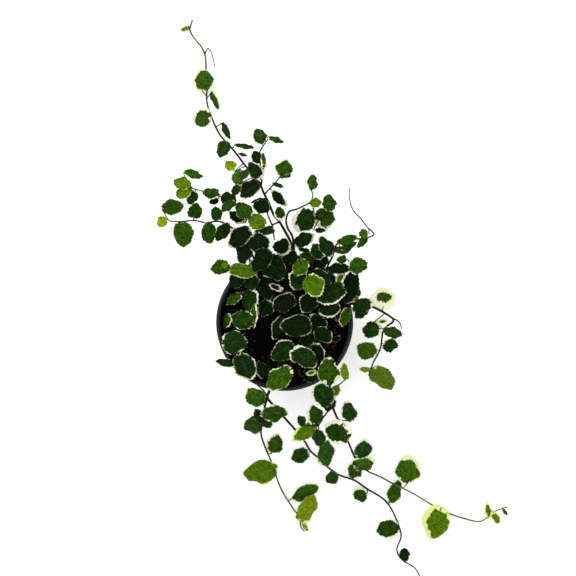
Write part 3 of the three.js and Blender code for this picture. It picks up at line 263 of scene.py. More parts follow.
def fromAbove(across, up, height=surface):
    spread = (eyeOverRim - height) / eyeOverRim
    eyeX, eyeY = cameraSettings["place"][:2]
    return np.array((eyeX + (across - eyeX) * spread, eyeY + (up - eyeY) * spread, potHeight + height))


def smoothRoute(points, parts):    # parts equal steps between each two points, on one smooth curve
    points = [np.asarray(point, float) for point in points]
    padded = [2 * points[0] - points[1], *points, 2 * points[-1] - points[-2]]
    made = []
    for before, start, end, after in zip(padded, padded[1:], padded[2:], padded[3:]):
        leave, arrive = 0.5 * (end - before), 0.5 * (after - start)
        for part in range(parts):
            w = part / parts
            made.append(start + leave * w + (3 * (end - start) - 2 * leave - arrive) * w ** 2
                        + (2 * (start - end) + leave + arrive) * w ** 3)
    return made + [points[-1]]


def outline(along):    # half width of a blade from base to tip, as a share of its widest
    early, blunt = laySettings["outline"]
    return math.sin(math.pi * along ** early) ** blunt if 0 < along < 1 else 0


def bladeFrame(row, height, slant):    # a blade is rolled and dips so far that its seen size comes out
    s = laySettings
    base, tip = fromAbove(row[0], row[1], height), fromAbove(row[2], row[3], height)
    width = abs(row[4]) * (eyeOverRim - height) / eyeOverRim
    seen = np.linalg.norm(tip - base)
    ratio = width / seen
    if ratio > s["ratio"]:
        ratio = min(ratio, s["broadest"])
    else:
        ratio = min(max(s["fuller"] * ratio, s["narrowest"]), s["ratio"])
    length = max(seen * (1 + s["droop"] ** 2 / 2), width / ratio)
    tip[2] -= math.sqrt(length ** 2 - seen ** 2)
    forward = (tip - base) / np.linalg.norm(tip - base)
    roll = math.copysign(math.acos(min(1, width / (length * ratio))), row[4])
    level = np.array((-forward[1], forward[0], 0)) / math.hypot(forward[0], forward[1])
    sideways = level * math.cos(roll) + np.cross(forward, level) * math.sin(roll)
    for way in (forward, sideways):
        way[2] += way[0] * slant[0] + way[1] * slant[1]
    upward = np.cross(forward, sideways)
    return {"base": base, "length": length, "halfWidth": length * ratio / 2, "forward": forward,
            "sideways": sideways, "upward": upward / np.linalg.norm(upward)}


def samplesOf(blade):
    rows = math.ceil(blade["length"] / laySettings["pitch"])
    columns = math.ceil(blade["halfWidth"] / laySettings["pitch"])
    return np.array([blade["base"] + blade["forward"] * (row / rows * blade["length"])
                     + blade["sideways"] * (column / columns * blade["halfWidth"] * outline(row / rows))
                     for row in range(rows + 1) for column in range(-columns, columns + 1)])


def floorAt(point):
    out = math.hypot(point[0], point[1])
    return next((height for reach, height in laySettings["floors"] if out <= reach), laySettings["ground"])


def shiftToClear(points, laid):    # the smallest move up or down that keeps a blade off all the others
    s = laySettings
    apart = np.hypot(points[:, None, 0] - laid[None, :, 0], points[:, None, 1] - laid[None, :, 1])
    mine, theirs = np.nonzero(apart <= s["clearReach"])
    gaps = points[mine, 2] - laid[theirs, 2]
    floors = np.array([floorAt(point) for point in points])
    for step in range(s["tries"]):
        for shift in (step * s["step"], -step * s["step"]):
            if np.all(points[:, 2] + shift > floors) and np.all(np.abs(gaps + shift) > s["clearGap"]):
                return shift
    return 0


def stemUnder(routes, place):
    route = min(routes, key=lambda points: min(math.dist(point[:2], place[:2]) for point in points))
    i = min(range(len(route)), key=lambda k: math.dist(route[k][:2], place[:2]))
    run = route[min(i + 1, len(route) - 1)] - route[max(i - 1, 0)]
    level = max(math.hypot(run[0], run[1]), 0.01)
    steepest = laySettings["steepest"]
    rise = min(max(run[2] / level, -steepest), steepest) * laySettings["slantShare"]
    return route[i][2] - potHeight, (rise * run[0] / level, rise * run[1] / level)


def layShoots():    # a blade near its stem leans with it, one with a height of its own leans off the crown
    for shoot in shoots:
        shoot["routes"] = [[fromAbove(*point) for point in route] for _, _, route in shoot["stems"]]
        shoot["points"] = [smoothRoute(route, laySettings["routeParts"]) for route in shoot["routes"]]
    laid = np.array([point for shoot in shoots for points in shoot["points"] for point in points])
    middle = laySettings["crownMiddle"]
    seed = 0
    for shoot in shoots:
        shoot["leaves"] = []
        for row, look in zip(shoot["blades"], shoot["looks"]):
            seed += 1
            if len(row) > 5:
                height = row[5]
                place = fromAbove(row[0], row[1], height)
                out = math.hypot(place[0] - middle[0], place[1] - middle[1])
                slant = [-laySettings["crownSlant"] * (place[k] - middle[k]) / out for k in (0, 1)]
            else:
                height, slant = stemUnder(shoot["points"], fromAbove(row[0], row[1], -potHeight / 2))
                height += laySettings["overStem"]
            blade = bladeFrame(row, height, slant)
            points = samplesOf(blade)
            shift = shiftToClear(points, laid)
            blade["base"][2] += shift
            points[:, 2] += shift
            laid = np.vstack((laid, points))
            shoot["leaves"].append({"blade": blade, "seed": seed, "look": look})
    print("leaves laid:", seed)


layShoots()


def shaderNode(tree, kind, inputs=None, **settings):
    made = tree.nodes.new("ShaderNode" + kind)
    for name, value in settings.items():
        setattr(made, name, value)
    for key, value in (inputs or {}).items():
        if isinstance(value, bpy.types.NodeSocket):
            tree.links.new(value, made.inputs[key])
        else:
            made.inputs[key].default_value = value
    return made


def calculate(tree, operation, *values, clamp=False):
    inputs = dict(enumerate(values))
    return shaderNode(tree, "Math", inputs, operation=operation, use_clamp=clamp).outputs[0]


def scaleAdd(tree, value, factor, more, clamp=False):
    return calculate(tree, "MULTIPLY_ADD", value, factor, more, clamp=clamp)


def colour(value):    # a colour written as in a paint program, made linear
    if not isinstance(value, str):
        return value
    parts = [int(value[i:i + 2], 16) / 255 for i in (0, 2, 4)]
    return [(p / 12.92 if p <= 0.04045 else ((p + 0.055) / 1.055) ** 2.4) for p in parts] + [1]


def blendColours(tree, share, first, second, way="MIX"):    # a Mix node's colours are inputs 6 and 7
    inputs = {0: share, 6: colour(first), 7: colour(second)}
    return shaderNode(tree, "Mix", inputs, data_type="RGBA", blend_type=way).outputs[2]


def mapRange(tree, value, low, high, start=0, end=1, smooth=False):
    inputs = {"Value": value, "From Min": low, "From Max": high, "To Min": start, "To Max": end}
    kind = "SMOOTHSTEP" if smooth else "LINEAR"
    return shaderNode(tree, "MapRange", inputs, interpolation_type=kind).outputs[0]


def readAttribute(tree, name, output="Fac"):
    return shaderNode(tree, "Attribute", attribute_name=name).outputs[output]


def newMaterial(name, **plain):    # the tree, and a Principled shader with its plain values set
    made = bpy.data.materials.new(name)
    made.use_nodes = True
    shader = made.node_tree.nodes["Principled BSDF"]
    for key, value in plain.items():
        shader.inputs[key.replace("_", " ")].default_value = value
    return made, made.node_tree, shader


def dressShader(tree, shader, base, bump, height, roughness=None):    # bump is (strength, depth)
    tree.links.new(base, shader.inputs["Base Color"])
    if roughness:
        tree.links.new(roughness, shader.inputs["Roughness"])
    relief = shaderNode(tree, "Bump", {"Strength": bump[0], "Distance": bump[1], "Height": height})
    tree.links.new(relief.outputs[0], shader.inputs["Normal"])


def newGroup(name, inputs, outputs):    # a group with its sockets, and its inner ends
    tree = bpy.data.node_groups.new(name, "ShaderNodeTree")
    for way, sockets in (("INPUT", inputs), ("OUTPUT", outputs)):
        for socket, kind in sockets.items():
            tree.interface.new_socket(socket, in_out=way, socket_type="NodeSocket" + kind)
    return tree, tree.nodes.new("NodeGroupInput").outputs, tree.nodes.new("NodeGroupOutput").inputs


speckleDetail = {"patches": 3, "specks": 5, "speckRoughness": 0.65}


def speckleGroup():    # fine grain that colours and bumps share: patches, and specks for relief
    tree, given, made = newGroup(
        "speckle", {"Place": "Vector", "Patch Scale": "Float", "Speck Scale": "Float"},
        {"Patches": "Float", "Specks": "Float"})
    patches = shaderNode(tree, "TexNoise", {"Vector": given["Place"], "Scale": given["Patch Scale"],
                                            "Detail": speckleDetail["patches"]})
    specks = shaderNode(tree, "TexNoise", {"Vector": given["Place"], "Scale": given["Speck Scale"],
                                           "Detail": speckleDetail["specks"],
                                           "Roughness": speckleDetail["speckRoughness"]})
    tree.links.new(patches.outputs[0], made["Patches"])
    tree.links.new(specks.outputs[0], made["Specks"])
    return tree


speckle = speckleGroup()


def addSpeckle(tree, scales, place=None):    # scales are those of the patches and of the specks
    place = place or shaderNode(tree, "TexCoord").outputs["Object"]
    inputs = {"Place": place, "Patch Scale": scales[0], "Speck Scale": scales[1]}
    return shaderNode(tree, "Group", inputs, node_tree=speckle).outputs[:]


# Leaves: one material for them all, led by what each vertex carries. Two numbers are a range that is
# mapped to 0 to 1, or a factor and what is added; four are a range and what it is mapped to.
leafPaint = {
    "greens": [(0, "021201"), (0.15, "062002"), (0.3, "163a02"), (0.45, "355b02"), (0.6, "4e7302"),
               (0.8, "729004"), (1, "9aae0e")],
    "paintedShadeCream": "a39a82", "creamOld": "d2cebc", "creamYoung": "c6cf7e", "blotch": "a89a66",
    "between": "5f7c38", "paintedGrooveShade": "707070", "underside": "6c8450", "vein": "6f9130",
    "scales": (0.32, 1.7), "broadScale": 0.13, "netScale": 0.95, "netWidth": 0.25,
    "patchy": 0.45, "specky": 0.5, "veinShow": (0.1, 0.6, 0.08, 0.25), "shaded": (0, 0.3),
    "young": (0.3, 0.65), "blotchy": (0.5, 0.8, 0, 0.6), "blots": (0.47, 0.66, 0, 0.45),
    "broken": (0.45, 0.56), "lineWidth": 0.06, "wholeWidth": 0.6, "bandWidth": (0.35, 0.25),
    "lineBreaks": (0.03, -0.024), "steps": (0.15, 0.02), "margin": (-0.008, 0.012),
    "halfway": (-0.06, -0.02, 0, 0.3), "roughness": (0.3, 0.35), "backRoughness": 0.25,
    "bump": (0.7, 0.0005), "netDepth": -0.5, "veinDepth": -0.6, "speckHeight": 0.35}
veinPaint = {"bend": 1.3, "slope": -0.36, "wander": 0.05, "pairs": 6, "width": 0.09, "midrib": 0.06}


def veinGroup():    # midrib and side veins, from a leaf's own map: 1 in the grooves, 0 between
    tree, given, made = newGroup("fig_leaf_veins", {"Leaf": "Vector", "Bend": "Float"},
                                 {"Grooves": "Float"})
    split = shaderNode(tree, "SeparateXYZ", {0: given["Leaf"]}).outputs
    across = calculate(tree, "ABSOLUTE", scaleAdd(tree, split[0], 2, -1))
    bent = calculate(tree, "POWER", across, veinPaint["bend"])
    along = scaleAdd(tree, bent, veinPaint["slope"], split[1])
    along = scaleAdd(tree, given["Bend"], veinPaint["wander"], along)
    side = calculate(tree, "PINGPONG", calculate(tree, "MULTIPLY", along, veinPaint["pairs"]), 0.5)
    side = mapRange(tree, side, 0, veinPaint["width"], 1, 0)
    middle = mapRange(tree, across, 0, veinPaint["midrib"], 1, 0)
    tree.links.new(calculate(tree, "MAXIMUM", side, middle, clamp=True), made["Grooves"])
    return tree


def leafMaterial():
    made, tree, shader = newMaterial("fig_leaf", Specular_IOR_Level=0.03)
    p = leafPaint
    place = readAttribute(tree, "leafPlace", "Vector")
    tone, edge, cream, band, under = (readAttribute(tree, name)
                                      for name in ("tone", "edge", "cream", "band", "under"))
    patches, specks = addSpeckle(tree, p["scales"], place)
    leafMap = shaderNode(tree, "UVMap").outputs[0]
    veins = shaderNode(tree, "Group", {"Leaf": leafMap, "Bend": patches}, node_tree=veinGroup()).outputs[0]
    broad = shaderNode(tree, "TexNoise", {"Vector": place, "Scale": p["broadScale"]}).outputs[0]
    netInputs = {"Vector": place, "Scale": p["netScale"]}
    mesh = shaderNode(tree, "TexVoronoi", netInputs).outputs["Color"]
    net = shaderNode(tree, "TexVoronoi", netInputs, feature="DISTANCE_TO_EDGE").outputs[0]
    net = mapRange(tree, net, 0, p["netWidth"], 1, 0, smooth=True)

    # The tone leads the green ramp; the low tones of the crown's leaves are partly painted shade.
    shade = scaleAdd(tree, calculate(tree, "SUBTRACT", patches, 0.5), p["patchy"], tone)
    shade = scaleAdd(tree, calculate(tree, "SUBTRACT", specks, 0.5), p["specky"], shade)
    ramp = shaderNode(tree, "ValToRGB", {0: shade})
    stops = ramp.color_ramp.elements
    for i, (position, green) in enumerate(p["greens"]):
        stop = stops[i] if i < 2 else stops.new(position)
        stop.position, stop.color = position, colour(green)
    veined = calculate(tree, "MULTIPLY", veins, mapRange(tree, tone, *p["veinShow"]))
    green = blendColours(tree, veined, ramp.outputs[0], p["vein"])
    # The net's grooves, sunk in the bump below, are also darkened in colour: painted shade in the grooves.
    green = blendColours(tree, net, green, p["paintedGrooveShade"], "MULTIPLY")
    # Cream of low-tone leaves dims to a grey beige: painted shade on the crown's shaded leaves.
    pale = blendColours(tree, mapRange(tree, tone, *p["shaded"]), p["paintedShadeCream"], p["creamOld"])
    pale = blendColours(tree, mapRange(tree, tone, *p["young"]), pale, p["creamYoung"])
    pale = blendColours(tree, mapRange(tree, specks, *p["blotchy"]), pale, p["blotch"])

    # The margin is a thin broken line with broad blots, as wide as cream says, and a full band where
    # band says. A cream over 1 fills more of the leaf. Its inner line steps from mesh to mesh.
    most = calculate(tree, "MAXIMUM", calculate(tree, "SUBTRACT", cream, 1), 0)
    blots = mapRange(tree, broad, *p["blots"], smooth=True)
    broken = mapRange(tree, patches, *p["broken"])
    spotted = calculate(tree, "MINIMUM", cream, calculate(tree, "SUBTRACT", 2, cream))
    spots = scaleAdd(tree, broken, p["lineWidth"], blots)
    wide = calculate(tree, "MULTIPLY", spotted, spots)
    wide = scaleAdd(tree, most, p["wholeWidth"], wide)
    bandWidth = scaleAdd(tree, patches, *p["bandWidth"])
    wide = scaleAdd(tree, band, bandWidth, wide)
    wide = calculate(tree, "ADD", wide, scaleAdd(tree, broken, *p["lineBreaks"]))
    stepWidth = scaleAdd(tree, calculate(tree, "ADD", cream, band), *p["steps"])
    steps = calculate(tree, "MULTIPLY", calculate(tree, "SUBTRACT", mesh, 0.5), stepWidth)
    gone = calculate(tree, "SUBTRACT", calculate(tree, "ADD", wide, steps), edge)
    margin = mapRange(tree, gone, *p["margin"])
    face = blendColours(tree, mapRange(tree, gone, *p["halfway"]), green, p["between"])
    face = blendColours(tree, margin, face, pale)
    base = blendColours(tree, under, face, blendColours(tree, margin, p["underside"], pale))
    rough = scaleAdd(tree, specks, *p["roughness"])
    rough = scaleAdd(tree, under, p["backRoughness"], rough, clamp=True)
    height = calculate(tree, "MULTIPLY", veins, p["veinDepth"])
    height = scaleAdd(tree, net, p["netDepth"], height)
    height = scaleAdd(tree, specks, p["speckHeight"], height)
    dressShader(tree, shader, base, p["bump"], height, rough)
    return made


barkPaint = {"old": "0b0704", "ridge": "1e130a", "young": "4d5c10", "node": "3a2712",
             "scales": (220, 1500), "nodes": (0.4, 0.7), "greening": (0.55, 0.85),
             "roughness": (0.3, 0.5), "bump": (0.6, 0.0003)}


def barkMaterial():
    made, tree, shader = newMaterial("fig_bark", Specular_IOR_Level=0.05)
    p = barkPaint
    patches, specks = addSpeckle(tree, p["scales"])
    old = blendColours(tree, specks, p["old"], p["ridge"])
    young = blendColours(tree, mapRange(tree, patches, *p["nodes"]), p["young"], p["node"])
    base = blendColours(tree, mapRange(tree, readAttribute(tree, "tone"), *p["greening"]), old, young)
    rough = scaleAdd(tree, specks, *p["roughness"])
    dressShader(tree, shader, base, p["bump"], specks, rough)
    return made


leafGreen, stemBark = leafMaterial(), barkMaterial()

# A leaf is a grid rounded off and laid on its blade, and its cells stay about one size. The stations are
# the shares of its length between which the CAD's wave changes, for leaves up to a length.
leafShape = {
    "cell": 0.8, "fewest": 10, "most": 24, "alongCells": 1.1, "thickness": 0.36, "lowest": 0.6,
    "stations": [(10.5, (0.08, 0.45, 0.84)), (17, (0.06, 0.3, 0.62, 0.88)),
                 (1000, (0.05, 0.24, 0.48, 0.72, 0.9))],
    "waveTurns": (2.4, 2.1, 1.3), "waveWidth": 0.06, "lobe": 0.09, "lobePower": 1.2, "lobeEnd": 0.24,
    "scallop": 0.42, "scallopLength": 2.3, "scallopDrift": 2, "ragged": 0.35, "raggedTurns": 5,
    "raggedStart": 2.3, "fullTeeth": 6.5, "toothPower": 8, "swell": 0.25,
    "veins": 6, "veinSlope": 2.1, "veinBend": 1.3, "quilt": 0.3, "quiltPower": 0.7, "quiltRim": 6,
    "quiltRise": 5, "ruffle": 0.38, "ruffleTurns": 7, "ruffleStart": 1.7, "rufflePower": 5,
    "fold": 0.05, "foldLevel": 0.4, "cup": 0.06, "cupPower": 4, "bandEdge": (-0.2, 0.7), "apart": 13}


def smoothStep(low, high, value):
    share = min(max((value - low) / (high - low), 0), 1)
    return share * share * (3 - 2 * share)


def growLeaf(bm, layers, leaf):
    s = leafShape
    blade, seed, look = leaf["blade"], leaf["seed"], leaf["look"]
    length, halfWidth = blade["length"], blade["halfWidth"]
    cells = [min(max(round(size / s["cell"]), s["fewest"]), s["most"])
             for size in (2 * halfWidth, length * s["alongCells"])]
    stations = next(places for longest, places in s["stations"] if length < longest)
    turns = s["waveTurns"]
    extra, towards = look[2:] if len(look) > 2 else (0, 0)
    seen = math.atan2(blade["forward"][1], blade["forward"][0]) - math.radians(towards)
    teeth = round(math.pi * (halfWidth + length / 2) / s["scallopLength"])
    toothSize = min(1, halfWidth / s["fullTeeth"])
    grid = bmesh.ops.create_grid(bm, x_segments=cells[0], y_segments=cells[1], size=1, calc_uvs=True)
    for vert in grid["verts"]:
        x = vert.co.x * math.sqrt(1 - vert.co.y ** 2 / 2)
        y = vert.co.y * math.sqrt(1 - vert.co.x ** 2 / 2)
        out = min(math.hypot(x, y), 1)
        angle = math.atan2(x, y)
        along = (1 + y) / 2
        across = x / math.sqrt(1 - y * y) if abs(y) < 0.999 else 0
        station = float(np.interp(along, stations, range(len(stations))))
        left, right = (math.sin(seed * turns[0] + station * turns[1] + side * turns[2])
                       for side in (1, -1))
        wave = left * (1 + across) / 2 + right * (1 - across) / 2
        scallop = s["scallop"] * math.sin(teeth * angle + s["scallopDrift"] * math.sin(angle * 3 + seed))
        ragged = s["ragged"] * math.sin(angle * s["raggedTurns"] + seed * s["raggedStart"]
                                        + math.sin(angle * 2 + seed))
        tooth = (scallop + ragged) * toothSize * out ** s["toothPower"] + s["swell"] * out
        rib = along * s["veins"] - s["veinSlope"] * abs(across) ** s["veinBend"]
        quilt = abs(math.sin(math.pi * rib)) ** s["quiltPower"] * min(1, abs(across) * s["quiltRise"])
        quilt *= 1 - out ** s["quiltRim"]
        ruffle = math.sin(angle * s["ruffleTurns"] + seed * s["ruffleStart"]) * out ** s["rufflePower"]
        lobe = s["lobe"] * abs(across) ** s["lobePower"] * (1 - smoothStep(0, s["lobeEnd"], along))
        forth = (along - lobe) * length + tooth * math.cos(angle)
        aside = across * halfWidth * outline(along) * (1 + s["waveWidth"] * wave)
        aside += tooth * math.sin(angle)
        rise = (halfWidth * laySettings["wave"] * wave * abs(across)
                + s["quilt"] * (quilt - 0.5) + s["ruffle"] * ruffle
                + s["fold"] * halfWidth * (abs(across) * outline(along) - s["foldLevel"])
                - s["cup"] * halfWidth * out ** s["cupPower"] + s["thickness"] / 2)
        place = (blade["base"] + blade["forward"] * forth + blade["sideways"] * aside
                 + blade["upward"] * rise)
        place[2] = max(place[2], s["lowest"])
        vert.co = Vector(place) * mm
        vert[layers["tone"]], vert[layers["cream"]] = look[:2]
        vert[layers["band"]] = extra * smoothStep(*s["bandEdge"], math.cos(seen + angle))
        vert[layers["edge"]] = 1 - out
        vert[layers["leafPlace"]] = Vector((x * halfWidth, y * length / 2, seed * s["apart"]))
        for loop in vert.link_loops:
            loop[layers["uv"]].uv = (0.5 + x / 2, 0.5 + y / 2)
    upper = set(grid["verts"])
    faces = list(dict.fromkeys(face for vert in grid["verts"] for face in vert.link_faces))
    shell = bmesh.ops.solidify(bm, geom=faces, thickness=s["thickness"] * mm)
    for made in shell["geom"]:
        if isinstance(made, bmesh.types.BMVert) and made not in upper:
            made[layers["under"]] = 1


# Stems are curves with a round section. A petiole leaves the nearest free point of a stem, bows up a
# little and enters its leaf from below, behind the base. Greening is how green a stem gets at its tip.
stemShape = {"sides": 3, "steps": 5, "foot": 65, "footWidth": 1.1, "forkShare": 0.3,
             "petiole": 0.42, "petioleTaper": (1.15, 0.8), "petioleSteps": 4, "bow": 0.15,
             "heelBack": 1.3, "heelDown": 0.9, "insideForth": 0.06, "insideDown": 0.1,
             "leafYouth": (0.2, 0.6), "plainGreening": 0.45,
             "greening": {("runner_northwest", 0): 0.95, ("runner_northwest", 5): 0.7,
                          ("runner_south", 1): 1.1, ("runner_southeast", 0): 1.3}}


def addSpline(curve, points, radii):
    spline = curve.splines.new("POLY")
    spline.points.add(len(points) - 1)
    for point, place, radius in zip(spline.points, points, radii):
        point.co = (*(np.asarray(place) * mm), 1)
        point.radius = radius


def growStems(shoot):    # stems, side shoots and petioles as one mesh, and how young each stretch is
    s = stemShape
    curve = bpy.data.curves.new(shoot["name"] + "_stems", "CURVE")
    curve.dimensions = "3D"
    curve.bevel_depth = mm
    curve.bevel_resolution = s["sides"] - 1
    curve.use_fill_caps = True
    grown, youth = [], []
    for i, (startRadius, endRadius, _) in enumerate(shoot["stems"]):
        route = list(shoot["routes"][i])
        if i:
            route[0] = min(grown, key=lambda point: math.dist(point, route[0]))
        points = smoothRoute(route, s["steps"])
        shares = [k / (len(points) - 1) for k in range(len(points))]
        radii = [startRadius + (endRadius - startRadius) * share for share in shares]
        if i == 0:
            foot = np.array((*points[0][:2], s["foot"]))
            points, radii, shares = [foot, *points], [radii[0] * s["footWidth"], *radii], [0, *shares]
        addSpline(curve, points, radii)
        grown += points
        greening = s["greening"].get((shoot["name"], i), s["plainGreening"])
        fork = s["forkShare"] if i else 0
        youth += [greening * (fork + (1 - fork) * share) for share in shares]
    free = list(range(len(grown)))
    for leaf in shoot["leaves"]:
        blade = leaf["blade"]
        base, forward, upward = blade["base"], blade["forward"], blade["upward"]
        best = min(free, key=lambda k: math.dist(grown[k], base))
        free.remove(best)
        heel = base - s["heelBack"] * forward - s["heelDown"] * upward
        inside = base + s["insideForth"] * blade["length"] * forward - s["insideDown"] * upward
        bow = (grown[best] + heel) / 2
        bow[2] += s["bow"] * math.dist(grown[best], heel)
        points = smoothRoute([grown[best], bow, heel, inside], s["petioleSteps"])
        thick, thin = s["petioleTaper"]
        addSpline(curve, points, s["petiole"] * np.linspace(thick, thin, len(points)))
        # A petiole browns or greens with its leaf's tone, so on the crown it carries that painted shade
        # too.
        oldest, growth = s["leafYouth"]
        youth += list(np.linspace(youth[best], oldest + growth * leaf["look"][0], len(points)))
        grown += points
    holder = bpy.data.objects.new(curve.name, curve)
    mesh = bpy.data.meshes.new_from_object(holder)
    bpy.data.objects.remove(holder)
    tree = kdtree.KDTree(len(grown))
    for i, point in enumerate(grown):
        tree.insert(Vector(point) * mm, i)
    tree.balance()
    return mesh, tree, youth


def finishPiece(bm, name, *materials):
    mesh = bpy.data.meshes.new(name)
    for face in bm.faces:
        face.smooth = True
    bm.to_mesh(mesh)
    bm.free()
    for material in materials:
        mesh.materials.append(material)
    piece = bpy.data.objects.new(name, mesh)
    bpy.context.collection.objects.link(piece)
    return piece


def growShoot(shoot):
    bm = bmesh.new()
    layers = {name: bm.verts.layers.float.new(name) for name in ("tone", "cream", "band", "edge", "under")}
    layers["leafPlace"] = bm.verts.layers.float_vector.new("leafPlace")
    layers["uv"] = bm.loops.layers.uv.new("UVMap")
    stems, tree, youth = growStems(shoot)
    bm.from_mesh(stems)
    bpy.data.meshes.remove(stems)
    for face in bm.faces:
        face.material_index = 1
    for vert in bm.verts:
        vert[layers["tone"]] = youth[tree.find(vert.co)[1]]
    for leaf in shoot["leaves"]:
        growLeaf(bm, layers, leaf)
    piece = finishPiece(bm, shoot["name"] + "_dressed", leafGreen, stemBark)
    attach(piece, "root")
    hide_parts(shoot["name"])


for shoot in shoots:
    growShoot(shoot)
print("shoots grown:", len(shoots))

# The pot: the CAD profile with rounder edges, spun into one closed moulding, with its drain holes cut.
# The profile, (radius, height), runs from the underside's middle up the outside and back down inside.
potShape = {
    "profile": [(0, 0), (12, 0), (13.5, 2.2), (31, 2.2), (32.5, 0), (36.7, 0), (37.5, 0.8), (47.2, 75.5),
                (50.4, 77), (50.9, 87), (53.2, 88), (53.2, 89.4), (52.6, 90), (49.9, 90), (49.5, 88.8),
                (49, 78), (45.8, 76.3), (36.1, 4.4), (35.1, 3.6), (12.8, 3.6), (11.4, 1.4), (0, 1.4)],
    "steps": 96, "bevel": 0.45, "sharpFrom": 0.25, "holes": 6, "holeRadius": 3.6, "holeRing": 22,
    "holeSides": 24, "drillLength": 8, "drillMiddle": 2}
# The line colour is a painted highlight ring on the rim's top.
potPaint = {"plastic": "030607", "worn": "060b0c", "dust": "161a19", "line": "2b383b", "highlightRadius": 52.1,
            "highlightHalf": (0.2, 0.6), "highlightShare": 0.8, "scales": (60, 1400), "wear": (0.45, 0.8),
            "level": (0.75, 1), "dusty": (0.45, 0.7, 0, 0.3), "roughness": (0.35, 0.22),
            "bump": (0.35, 0.0002)}


def spinProfile(profile, steps):    # (radius, height) points turned round the upright axis
    bm = bmesh.new()
    verts = [bm.verts.new(Vector((radius, 0, height)) * mm) for radius, height in profile]
    edges = [bm.edges.new(pair) for pair in zip(verts, verts[1:])]
    bmesh.ops.spin(bm, geom=verts + edges, cent=(0, 0, 0), axis=(0, 0, 1), angle=2 * math.pi,
                   steps=steps, use_merge=True)
    bmesh.ops.remove_doubles(bm, verts=bm.verts, dist=1e-6)
    bmesh.ops.recalc_face_normals(bm, faces=bm.faces)
    return bm


def potMaterial():
    made, tree, shader = newMaterial("pot_plastic", Specular_IOR_Level=0.08)
    p = potPaint
    place = shaderNode(tree, "TexCoord").outputs["Object"]
    patches, specks = addSpeckle(tree, p["scales"], place)
    base = blendColours(tree, mapRange(tree, patches, *p["wear"]), p["plastic"], p["worn"])
    flatPlace = shaderNode(tree, "VectorMath", {0: place, 1: (1, 1, 0)}, operation="MULTIPLY").outputs[0]
    out = shaderNode(tree, "VectorMath", {0: flatPlace}, operation="LENGTH").outputs["Value"]
    # A thin blue-grey ring on the rim's upward faces, near its outer edge, is a painted highlight.
    offHighlight = calculate(tree, "ABSOLUTE", calculate(tree, "SUBTRACT", out, p["highlightRadius"] * mm))
    near, far = p["highlightHalf"]
    line = mapRange(tree, offHighlight, near * mm, far * mm, p["highlightShare"], 0)
    upright = shaderNode(tree, "SeparateXYZ", {0: shaderNode(tree, "NewGeometry").outputs["Normal"]})
    flat = mapRange(tree, upright.outputs[2], *p["level"])
    dust = calculate(tree, "MULTIPLY", flat, mapRange(tree, specks, *p["dusty"]))
    base = blendColours(tree, calculate(tree, "MULTIPLY", flat, line), base, p["line"])
    base = blendColours(tree, dust, base, p["dust"])
    rough = scaleAdd(tree, patches, *p["roughness"])
    dressShader(tree, shader, base, p["bump"], specks, rough)
    return made


def makePot():
    p = potShape
    bm = spinProfile(p["profile"], p["steps"])
    sharp = [edge for edge in bm.edges
             if len(edge.link_faces) == 2 and edge.calc_face_angle(0) > p["sharpFrom"]]
    bmesh.ops.bevel(bm, geom=sharp, offset=p["bevel"] * mm, offset_type="OFFSET", affect="EDGES",
                    segments=2, profile=0.5, material=-1, clamp_overlap=True)
    pot = finishPiece(bm, "nursery_pot_dressed", potMaterial())
    cutter = bmesh.new()
    radius, ring = p["holeRadius"] * mm, p["holeRing"]
    for i in range(p["holes"]):
        angle = 2 * math.pi * i / p["holes"]
        drill = bmesh.ops.create_cone(cutter, cap_ends=True, segments=p["holeSides"], radius1=radius,
                                      radius2=radius, depth=p["drillLength"] * mm)
        place = Vector((ring * math.cos(angle), ring * math.sin(angle), p["drillMiddle"]))
        bmesh.ops.translate(cutter, verts=drill["verts"], vec=place * mm)
    drills = finishPiece(cutter, "drills")
    cut = pot.modifiers.new("holes", "BOOLEAN")
    cut.operation, cut.solver, cut.object = "DIFFERENCE", "EXACT", drills
    bpy.context.view_layer.update()
    holed = bpy.data.meshes.new_from_object(pot.evaluated_get(bpy.context.evaluated_depsgraph_get()))
    pot.modifiers.clear()
    pot.data = holed
    bpy.data.objects.remove(drills)
    return pot


pot = makePot()
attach(pot, "root")
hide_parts("nursery_pot")
print("pot spun")

# The soil: a spun filling with a crumbly top, and bark chips and grit lying on it, some of them in heaps
# of (across, up, reach). The profile runs from the middle of the soil's floor up to the edge of its top.
soilShape = {
    "profile": [(0, 3.95), (34.5, 3.95), (35.75, 5), (45.45, 76.4)], "top": 78, "radius": 48.65,
    "rings": 30, "steps": 110, "crumb": 0.7, "fineCrumb": 0.6, "crumbScales": (0.15, 0.5), "seed": 7,
    "chips": 380, "chipSizes": (0.6, 2.2), "grit": 110, "gritSizes": (0.35, 0.8), "chipReach": 45.65,
    "heaps": [(39, -14, 6), (34, -27, 4), (13, -41, 4), (43, 1, 4), (-36, 24, 5)],
    "heaped": 0.5, "heapedSize": 0.75,
    "barkShade": 1.6, "heapedShade": 0.8, "gritShades": (0.8, 1), "lumps": (0.7, 1.15),
    "lengths": (1, 1.8), "widths": (0.5, 0.9), "heights": (0.3, 0.6), "tilt": 0.4, "lift": 0.12}
soilPaint = {"dark": "010101", "light": "080504", "chips": ("080503", "170f08", "45341f", "a8946c"),
             "scales": (350, 1800), "dry": (0.4, 0.75), "wet": (0.5, 0.75, 0, 0.6), "bump": (1, 0.0008),
             "chipScales": (160, 2200), "chipShades": ((0, 0.5), (0.5, 0.85), (0.85, 1)),
             "chipDirt": 0.6, "chipBump": (0.8, 0.0004)}


def soilMaterial():
    made, tree, shader = newMaterial("potting_mix", Specular_IOR_Level=0.02, Roughness=0.95)
    p = soilPaint
    patches, specks = addSpeckle(tree, p["scales"])
    base = blendColours(tree, mapRange(tree, specks, *p["dry"]), p["dark"], p["light"])
    base = blendColours(tree, mapRange(tree, patches, *p["wet"]), base, p["dark"])
    dressShader(tree, shader, base, p["bump"], specks)
    return made


